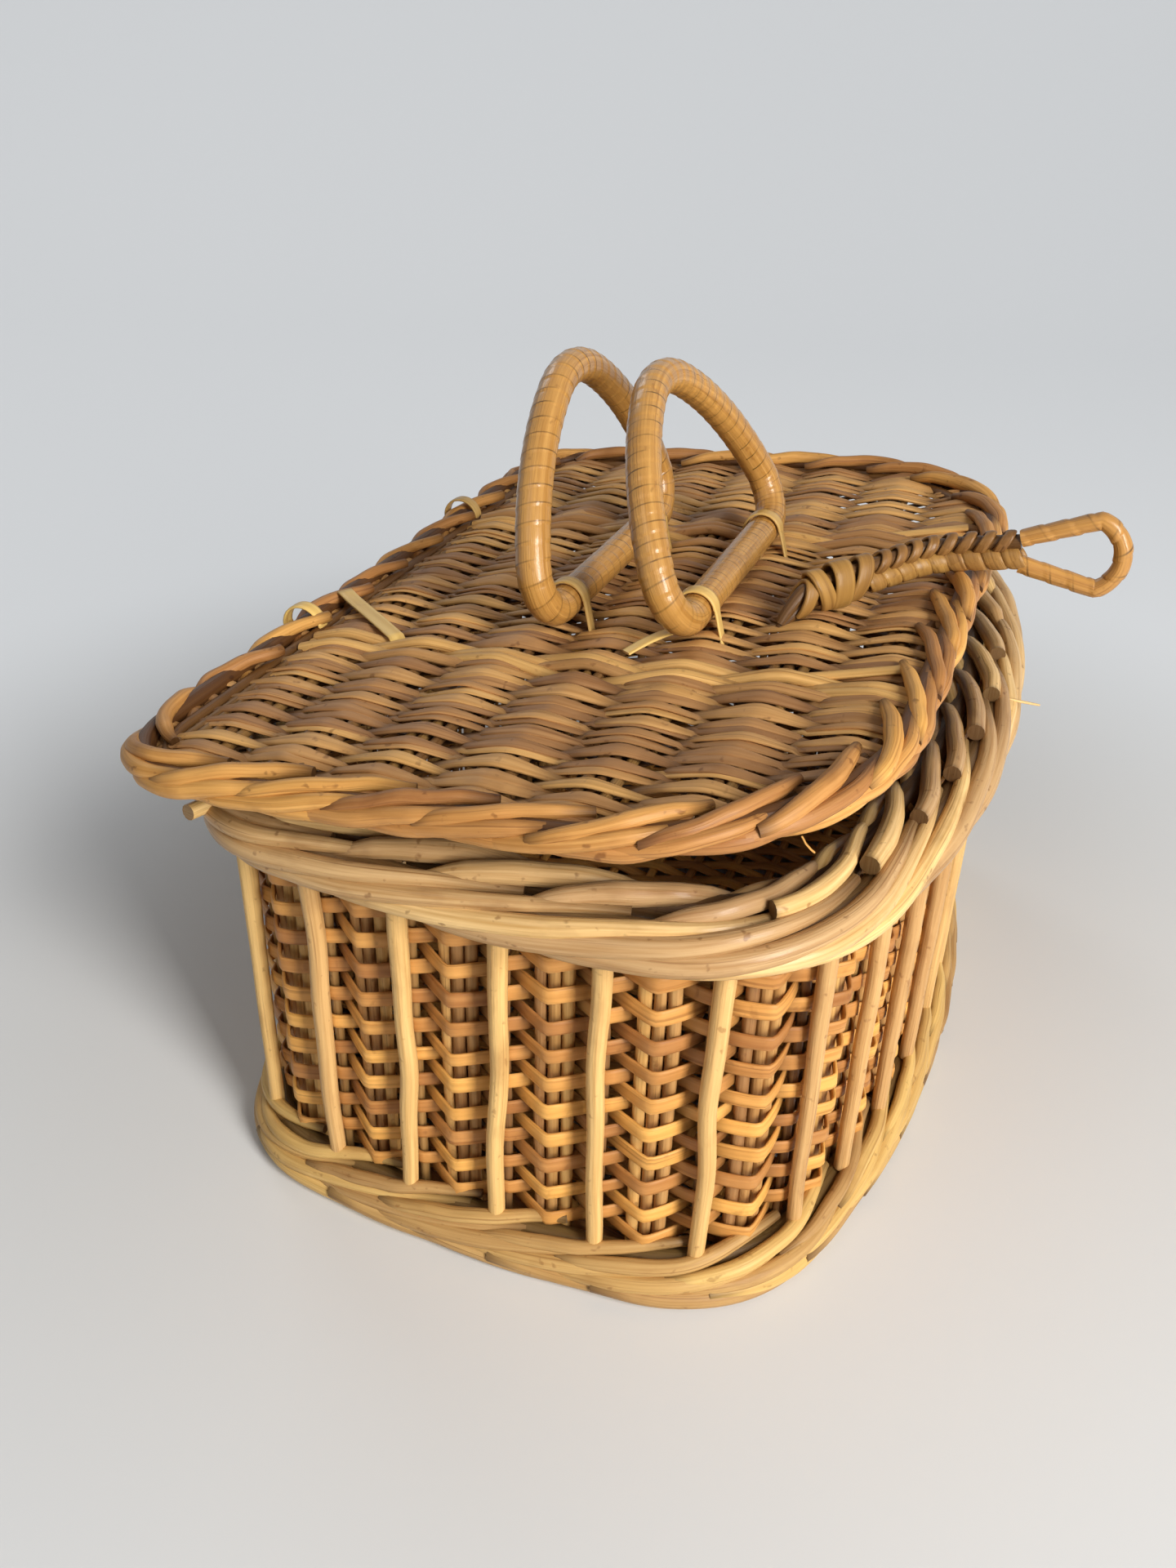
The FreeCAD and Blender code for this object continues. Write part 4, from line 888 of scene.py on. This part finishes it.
# How far each leg's foot is splayed, along the bar and away from it
FRONT_SPLAY, BACK_SPLAY = (-5.0, 3.5), (1.5, 2.0)


def ribbon(bundle, points, half_width, half_thick, ups, tint=None, closed=False):
    """A flat band of cane along points; ups are the directions that it faces."""
    bundle.add(points, half_width, half_thick, up=ups, sides=10, power=4.0, tint=tint, closed=closed)


def spokes_round(start, finish, count):
    """Unit spokes about a rod that lies along the basket, from one angle to another."""
    angles = np.linspace(start, finish, count)
    return np.column_stack([np.zeros(count), np.cos(angles), np.sin(angles)])


for label, (bar_y, lean) in HANDLES.items():
    ties = Bundle()
    for end in (-1, 1):
        radius = HANDLE_RADIUS + TIE_CLEARANCE
        spokes = spokes_round(math.pi, 0, TIE_TURNS)
        over = np.array([end * TIE_X, bar_y, HANDLE_Z]) + radius * spokes
        fall = np.linspace(0, 1, TIE_FALL)[1:, None]
        legs = []
        for top, side, (along, away) in ((over[0], -1, FRONT_SPLAY), (over[-1], 1, BACK_SPLAY)):
            foot_y = bar_y + side * (radius + away)
            foot = np.array([end * TIE_X + along, foot_y, LID_MIDDLE + TIE_FOOT_RISE])
            legs.append(top + fall * (foot - top))
        faces = np.vstack([spokes[[0] * len(fall)], spokes, spokes[[-1] * len(fall)]])
        path = np.vstack([legs[0][::-1], over, legs[1]])
        ribbon(ties, path, TIE_HALF_WIDTH, TIE_HALF_THICK, faces)
    ties.build(label + "_handle_bands", "tie_cane", "pale_cane", "lid", [label + "_handle_ties"], on_lid=True)

# %% Loose straps
# Places of the long strap across the lid, its heights there, and the places of its ends along the lid
STRAP_Y, STRAP_Z = [66, 69, 80, 98, 104, 107], [150.5, 154.4, 155.4, 156.6, 157.6, 155.5]
STRAP_ENDS, STRAP_SAMPLES, STRAP_SECTION = [-69.5, -38.0], 26, (2.7, 0.5)
SHORT_START, SHORT_END, SHORT_BOW = (-44.0, -23.0, 156.0), (-62.5, -8.5, 153.9), 1.2
SHORT_SAMPLES, SHORT_SECTION = 14, (2.3, 0.45)
UPWARD = (0, 0, 1)
strap = Bundle()
strap_y = np.linspace(STRAP_Y[-1], STRAP_Y[0], STRAP_SAMPLES)
strap_x = np.interp(strap_y, [STRAP_Y[0], STRAP_Y[-1]], STRAP_ENDS)
strap_z = np.interp(strap_y, STRAP_Y, STRAP_Z)
ribbon(strap, np.column_stack([strap_x, strap_y, strap_z]), *STRAP_SECTION, UPWARD, tint=0.7)
short = np.linspace(SHORT_START, SHORT_END, SHORT_SAMPLES)
short[:, 2] += SHORT_BOW * np.sin(np.linspace(0, math.pi, SHORT_SAMPLES))
ribbon(strap, short, *SHORT_SECTION, UPWARD, tint=0.8)
strap.build("loose_straps", "tie_cane", "pale_cane", "lid", on_lid=True)

# %% Hinge ties
HINGE_TIE_X, HINGE_TIE_TURNS = 60.0, 24
RIM_CROWN_Y, RIM_CROWN_Z = 106.2, 141.9
ROUND_ROD, ROUND_CROWN, HINGE_TIE_HALF_WIDTH = 7.0, 5.9, 2.6
hinge = Bundle()
for x in (-HINGE_TIE_X, HINGE_TIE_X):
    rod, crown = np.array([x, HINGE_Y, HINGE_Z]), np.array([x, RIM_CROWN_Y, RIM_CROWN_Z])
    path = np.vstack([rod + ROUND_ROD * spokes_round(0, math.pi, HINGE_TIE_TURNS),
                      crown + ROUND_CROWN * spokes_round(math.pi, math.tau, HINGE_TIE_TURNS)])
    faces = unit(path - (rod + crown) / 2)
    ribbon(hinge, path, HINGE_TIE_HALF_WIDTH, TIE_HALF_THICK, faces, closed=True)
hinge.build("hinge_bands", "tie_cane", "pale_cane", "basket", ["hinge_ties"])

# %% [markdown]
# ## The hasp and its loop
# The closure is a pair of strands, one above the other, that dive into the weave at their root. Broad
# bands hold the root down, and from there to the lid's edge flat turns round each strand slant against
# each other, so that they look plaited. Past the edge the strands part into a wrapped teardrop loop. The
# loop has its own body, so it is made apart from the strands and meets them just past the bend's axis.

# %% Middle line of the hasp
HASP_ROOT, HASP_ELBOW = np.array([-20.0, -56.0]), np.array([15.0, -88.0])
HASP_X, HASP_AXIS_Y, HASP_BEND = HASP_ELBOW[0], -110.0, 24.0
HASP_LIFT, BORDER_RADIUS, LOOP_SETBACK = 6.3, 6.0, 5.6
HASP_ROOT_Z = LID_SURFACE + HASP_LIFT
# The climb that takes the hasp from its root over the lid's front border
root_rise, root_run = HASP_ROOT_Z - HINGE_Z, HASP_ROOT[1] - LID_FRONT
clear_of_border = math.asin((BORDER_RADIUS + HASP_LIFT) / math.hypot(root_rise, root_run))
HASP_TILT = clear_of_border - math.atan2(root_rise, root_run)


def tilted(y):
    """Place across the lid and height of the hasp, which climbs from its root, from its unclimbed place."""
    run = HASP_ROOT[1] - y
    return HASP_ROOT[1] - run * math.cos(HASP_TILT), HASP_ROOT_Z + run * math.sin(HASP_TILT)


def hasp_line(end_y):
    """Middle of the two strands, from the root over the border to an end."""
    heading = unit(HASP_ELBOW - HASP_ROOT)
    turn_angle = math.acos(-heading[1])
    setback = HASP_BEND * math.tan(turn_angle / 2)
    first, last = HASP_ELBOW - heading * setback, HASP_ELBOW + np.array([0, -setback])
    share = np.linspace(0, 1, 20)[:, None]
    bend = (1 - share) ** 2 * first + 2 * share * (1 - share) * HASP_ELBOW + share ** 2 * last
    start = np.linspace(HASP_ROOT, first, 40)[:-1]
    finish = np.linspace(last, np.array([HASP_X, end_y]), 40)[1:]
    flat = np.vstack([start, bend, finish])
    return np.column_stack([flat[:, 0], *tilted(flat[:, 1])])


TAIL, TAIL_DROP, TAIL_CURVE, TAIL_SAMPLES = 12.0, 8.5, 1.6, 8
hasp_path = hasp_line(HASP_AXIS_Y - LOOP_SETBACK)
tail_share = np.linspace(1, 0, TAIL_SAMPLES, endpoint=False)[:, None]
tail_drop = np.append(unit(HASP_ROOT - HASP_ELBOW) * TAIL, -TAIL_DROP)
hasp_path = np.vstack([hasp_path[0] + tail_drop * tail_share ** np.array([1, 1, TAIL_CURVE]), hasp_path])
steps = run_lengths(hasp_path)
HASP_LENGTH = steps[-1]


def on_hasp(distance):
    """Points along the middle of the hasp."""
    return np.column_stack([np.interp(distance, steps, hasp_path[:, column]) for column in range(3)])


print("hasp %.0f mm long, climbing by %.2f degrees" % (HASP_LENGTH, math.degrees(HASP_TILT)))

# %% Hasp strands
TURN_PITCH, TURNS_START, TURN_SAMPLES, TURN_HALF_THICK = 6.1, 38.0, 36, 0.75
# Height from the middle and radius of each strand
STRANDS = ((-2.5, 2.6), (2.5, 2.5))
# Height from the middle, radius, half width and slant of the turns round each strand
LOWER_TURN, UPPER_TURN = (-2.5, 3.25, 2.95, -1.5), (2.8, 3.0, 1.75, 2.3)
hasp = Bundle()
along = np.linspace(0, HASP_LENGTH, 120)
for side, radius in STRANDS:
    parting = np.interp(along, [0, TAIL, 2 * TAIL], [0.35, 0.8, 1.0])
    strand = on_hasp(along) + np.outer(side * parting, [0, 0, 1])
    # Painted shade darkens the strands, which lie under their bound turns
    hasp.add(strand, radius * np.interp(along, [0, TAIL], [0.7, 1]), sides=14, tint=0.2, grime=0.55)


def bound_turn(bundle, distance, drop, radius, half_width, slant, tint):
    """One turn of flat cane round a strand of the hasp, slanting along it."""
    turns = np.linspace(0, math.tau, TURN_SAMPLES, endpoint=False)
    before, middle, after = on_hasp(np.array([distance - 1, distance, distance + 1]))
    ahead = unit(after - before)
    side = unit(np.cross(ahead, [0, 0, 1]))
    over = np.cross(side, ahead)
    ring = np.outer(np.cos(turns), side) + np.outer(np.sin(turns), over)
    path = middle + over * drop + ring * radius + np.outer(np.sin(turns) * slant, ahead)
    bundle.add(path, half_width, TURN_HALF_THICK, up=ring, sides=12, power=2.6, closed=True, tint=tint)


for distance in np.arange(TURNS_START, HASP_LENGTH + 0.5, TURN_PITCH):
    bound_turn(hasp, distance, *LOWER_TURN, chance.uniform(0.45, 0.95))
    bound_turn(hasp, distance + TURN_PITCH / 2, *UPPER_TURN, chance.uniform(0.1, 0.5))
hasp.build("hasp_bound_strands", "plait_cane", "caramel_wrap", "lid", ["hasp_strands", "hasp_binding"],
           on_lid=True)

# %% Root bands
# Place along the hasp, half breadth, half height, lean and half width of each band
ROOT_BANDS = ((11.5, 3.9, 5.6, 2.6, 2.3), (18.0, 4.3, 6.6, -2.4, 2.9), (24.5, 4.8, 7.4, 0.4, 3.7),
              (31.5, 4.5, 6.8, 3.0, 2.8))
ROOT_BAND_UNDER, ROOT_BAND_SAMPLES, ROOT_BAND_HALF_THICK = 1.0, 34, 0.8
root_bands = Bundle()
heading = unit(np.append(HASP_ELBOW - HASP_ROOT, 0))
square = np.array([-heading[1], heading[0], 0])
for distance, half_wide, half_high, lean, half_width in ROOT_BANDS:
    middle = on_hasp(np.array([distance]))[0]
    turns = np.linspace(-ROOT_BAND_UNDER, math.pi + ROOT_BAND_UNDER, ROOT_BAND_SAMPLES)
    band = (middle + np.outer(np.cos(turns) * half_wide, square)
            + np.outer(np.sin(turns) * half_high, [0, 0, 1]) + np.outer(np.sin(turns) * lean, heading))
    faces = np.outer(np.cos(turns), square) + np.outer(np.sin(turns), [0, 0, 1])
    ribbon(root_bands, band, half_width, ROOT_BAND_HALF_THICK, faces, tint=chance.uniform(0.6, 1.0))
root_bands.build("hasp_root_bands", "plait_cane", "pale_cane", "lid", ["hasp_root_tie"], on_lid=True)

# %% Hasp loop
LOOP_BULB, LOOP_REACH, LOOP_NECK, LOOP_PARTING, LOOP_SIDES, LOOP_STEP_UP = 12.2, 24.0, 2.6, 4.3, 18, 0.3
axis_y, axis_z = tilted(HASP_AXIS_Y)
spread = math.asin((LOOP_BULB - LOOP_NECK) / LOOP_REACH)
sweep = np.linspace(QUARTER - spread, -(QUARTER - spread), 90)
bulb = np.column_stack([axis_y - LOOP_REACH - LOOP_BULB * np.cos(sweep), axis_z + LOOP_BULB * np.sin(sweep)])
leg = np.linspace(0, 1, 40)[:-1, None]
top_root = np.array([axis_y - LOOP_SETBACK, axis_z + LOOP_PARTING])
low_root = np.array([axis_y - LOOP_SETBACK, axis_z - LOOP_PARTING])
upper_leg = top_root + leg * (bulb[0] - top_root)
lower_leg = (low_root + leg * (bulb[-1] - low_root))[::-1]
line = np.vstack([upper_leg, bulb, lower_leg])
loop_path = np.column_stack([np.full(len(line), HASP_X), line])
loop = Bundle()
loop.add(loop_path, LOOP_RADIUS, up=(1, 0, 0), sides=LOOP_SIDES, tint=0.5,
         swell=wrapped_swell(loop_path, LOOP_RADIUS, LOOP_WRAP_PITCH, LOOP_SIDES, LOOP_STEP_UP))
loop.build("hasp_loop_ring", "loop_cane", "caramel_wrap", "hasp_loop", ["hasp_loop"], on_lid=True)

# %% [markdown]
# ## The base
# The base hardly shows, but the lid opens, so it is woven too: thin sticks along the length with flat
# strips across them, at the height of the measured base.

# %% Woven base
BASE_MIDDLE, BASE_CREST, BASE_INSET, BASE_SAMPLES = 5.5, 1.6, 2.6, 120
BASE_STRIP, BASE_STRIP_PITCH, BASE_STRIP_LAST = (3.0, 0.8), 6.4, 143
BASE_STICK, BASE_STICK_PITCH, BASE_STICK_LAST = (1.9, 1.3), 16, 96
EDGE_SAMPLES, EDGE_NEAR = 900, 3
base = Bundle()
inside = WALL.place(np.linspace(0, WALL.length, EDGE_SAMPLES), -BASE_INSET, 0.0)


def inside_limits(column, value):
    """Least and greatest place inside the wall, along one axis, near a value on the other."""
    near = inside[np.abs(inside[:, column] - value) < EDGE_NEAR][:, 1 - column]
    return near.min(), near.max()


for number, x in enumerate(np.arange(-BASE_STRIP_LAST, BASE_STRIP_LAST + 1, BASE_STRIP_PITCH)):
    y = np.linspace(*inside_limits(0, x), BASE_SAMPLES)
    height = BASE_MIDDLE + np.cos(math.pi * (y / BASE_STICK_PITCH + number)) * BASE_CREST
    base.add(np.column_stack([np.full(BASE_SAMPLES, x), y, height]), *BASE_STRIP, sides=8, power=3.2)
for y in np.arange(-BASE_STICK_LAST, BASE_STICK_LAST + 1, BASE_STICK_PITCH):
    low, high = inside_limits(1, y)
    base.add(np.linspace((low, y, BASE_MIDDLE), (high, y, BASE_MIDDLE), 40), *BASE_STICK, sides=8)
base.build("woven_base", "strip_cane", "split_cane", "basket", ["base_weave"])

# %% [markdown]
# ## Floor and light
# The basket stands on a plain pale floor that sweeps up into a backdrop, so no edge cuts the picture. A
# tall lamp low at the right, like a window, gives the photograph's direction of light: the side and the
# foot are bright, the lid lies in half light, and the gaps of the weave stay dark. A dim sky and two weak
# lamps fill the rest. Away from the basket the floor glows a little for rays that look at it, and so does
# the sky, so the background stays pale without throwing more light on the basket, and its shadow stays on
# the floor.

# %% Floor
SWEEP_START, SWEEP_RADIUS, SWEEP_HEIGHT, FLOOR_NEAR, FLOOR_HALF = 1.1, 0.9, 3.0, -3.0, 5.0
profile = [(FLOOR_NEAR, 0.0)]
for angle in np.linspace(0, QUARTER, 24):
    profile.append((SWEEP_START + SWEEP_RADIUS * math.sin(angle), SWEEP_RADIUS * (1 - math.cos(angle))))
profile.append((SWEEP_START + SWEEP_RADIUS, SWEEP_HEIGHT))
heading = np.array([math.cos(CAMERA_YAW), math.sin(CAMERA_YAW), 0])
sideways = np.array([-heading[1], heading[0], 0])
corners = [heading * away + sideways * side + np.array([0, 0, height])
           for away, height in profile for side in (-FLOOR_HALF, FLOOR_HALF)]
faces = [(2 * step, 2 * step + 2, 2 * step + 3, 2 * step + 1) for step in range(len(profile) - 1)]
floor_mesh = bpy.data.meshes.new("pale_floor")
floor_mesh.from_pydata([tuple(corner) for corner in corners], [], faces)
floor_mesh.polygons.foreach_set("use_smooth", [True] * len(faces))
floor = bpy.data.objects.new("pale_floor", floor_mesh)
bpy.context.scene.collection.objects.link(floor)
print("floor faces:", len(faces))

# %% Floor paint
FLOOR_TONE, FLOOR_GLOW = (0.74, 0.75, 0.76), (0.80, 0.83, 0.86)
GLOW_FROM, GLOW_FULL, GLOW_SHARE = 0.15, 0.50, 0.62
FLOOR_ROUGHNESS, FLOOR_SHEEN = 0.85, 0.2


def looked_at_rays(recipe):
    """One for a ray that looks, straight, by a reflection or through glass; zero for light that falls."""
    rays = recipe.node("ShaderNodeLightPath").outputs
    straight = recipe.calculated("MAXIMUM", rays["Is Camera Ray"], rays["Is Glossy Ray"])
    return recipe.calculated("MAXIMUM", straight, rays["Is Transmission Ray"])


def show_instead(recipe, share, usual, shown):
    """Puts another surface in the place of the usual one, by a share."""
    mix = recipe.node("ShaderNodeMixShader", {0: share, 1: usual.outputs[0], 2: shown.outputs[0]})
    output = next(node for node in recipe.tree.nodes if node.type.startswith("OUTPUT"))
    recipe.fill(output, {"Surface": mix.outputs[0]})


floor_paint = bpy.data.materials.new("floor_paint")
paint = Recipe(floor_paint)
floor_shader = paint.tree.nodes["Principled BSDF"]
paint.fill(floor_shader, {
    "Base Color": FLOOR_TONE, "Roughness": FLOOR_ROUGHNESS, "Specular IOR Level": FLOOR_SHEEN})
floor_place = paint.node("ShaderNodeNewGeometry").outputs["Position"]
floor_reach = paint.node("ShaderNodeVectorMath", {0: floor_place}, operation="LENGTH").outputs["Value"]
clear_of_basket = paint.ramp(floor_reach, GLOW_FROM, GLOW_FULL, GLOW_SHARE, "SMOOTHSTEP")
floor_glow = paint.node("ShaderNodeEmission", {"Color": FLOOR_GLOW})
show_instead(paint, paint.times(looked_at_rays(paint), clear_of_basket), floor_shader, floor_glow)
floor_mesh.materials.append(floor_paint)
print("nodes in the floor's paint:", len(paint.tree.nodes))

# %% Sky
SKY_TONE, SKY_GLOW, SKY_STRENGTH = (1.0, 0.97, 0.94), (0.57, 0.59, 0.61), 0.085
world = bpy.data.worlds.new("soft_sky")
bpy.context.scene.world = world
sky = Recipe(world)
dim_sky = sky.tree.nodes["Background"]
sky.fill(dim_sky, {"Color": SKY_TONE, "Strength": SKY_STRENGTH})
pale_sky = sky.node("ShaderNodeBackground", {"Color": SKY_GLOW})
show_instead(sky, looked_at_rays(sky), dim_sky, pale_sky)
print("nodes in the sky:", len(sky.tree.nodes))

# %% Lamps
BASKET_MIDDLE = (0, 0, 0.1)
ROOM_TONE = (1.0, 0.98, 0.95)


def lamp(name, place, target, size, watts, colour):
    """A rectangular lamp at a place in metres that faces a target."""
    light = bpy.data.lights.new(name, "AREA")
    light.shape = "RECTANGLE"
    light.size, light.size_y = size
    light.energy = watts
    light.color = colour
    stand = bpy.data.objects.new(name, light)
    bpy.context.scene.collection.objects.link(stand)
    away = unit(np.array(place) - np.array(target))
    right = unit(np.cross([0, 0, 1], away))
    placed = Matrix(np.column_stack([right, np.cross(away, right), away]).tolist()).to_4x4()
    placed.translation = place
    stand.matrix_world = placed


lamp("window", (-0.74, -1.02, 0.68), BASKET_MIDDLE, (0.38, 0.95), 25.5, (1.0, 0.97, 0.92))
lamp("room", (-1.5, 0.5, 1.9), BASKET_MIDDLE, (1.2, 1.2), 5, ROOM_TONE)
lamp("back_wall", (1.0, 1.3, 1.5), (0.166, 0.979, 1.053), (0.7, 0.7), 5, ROOM_TONE)
bpy.context.scene.view_settings.view_transform = "Standard"
print("lamps:", len(bpy.data.lights))
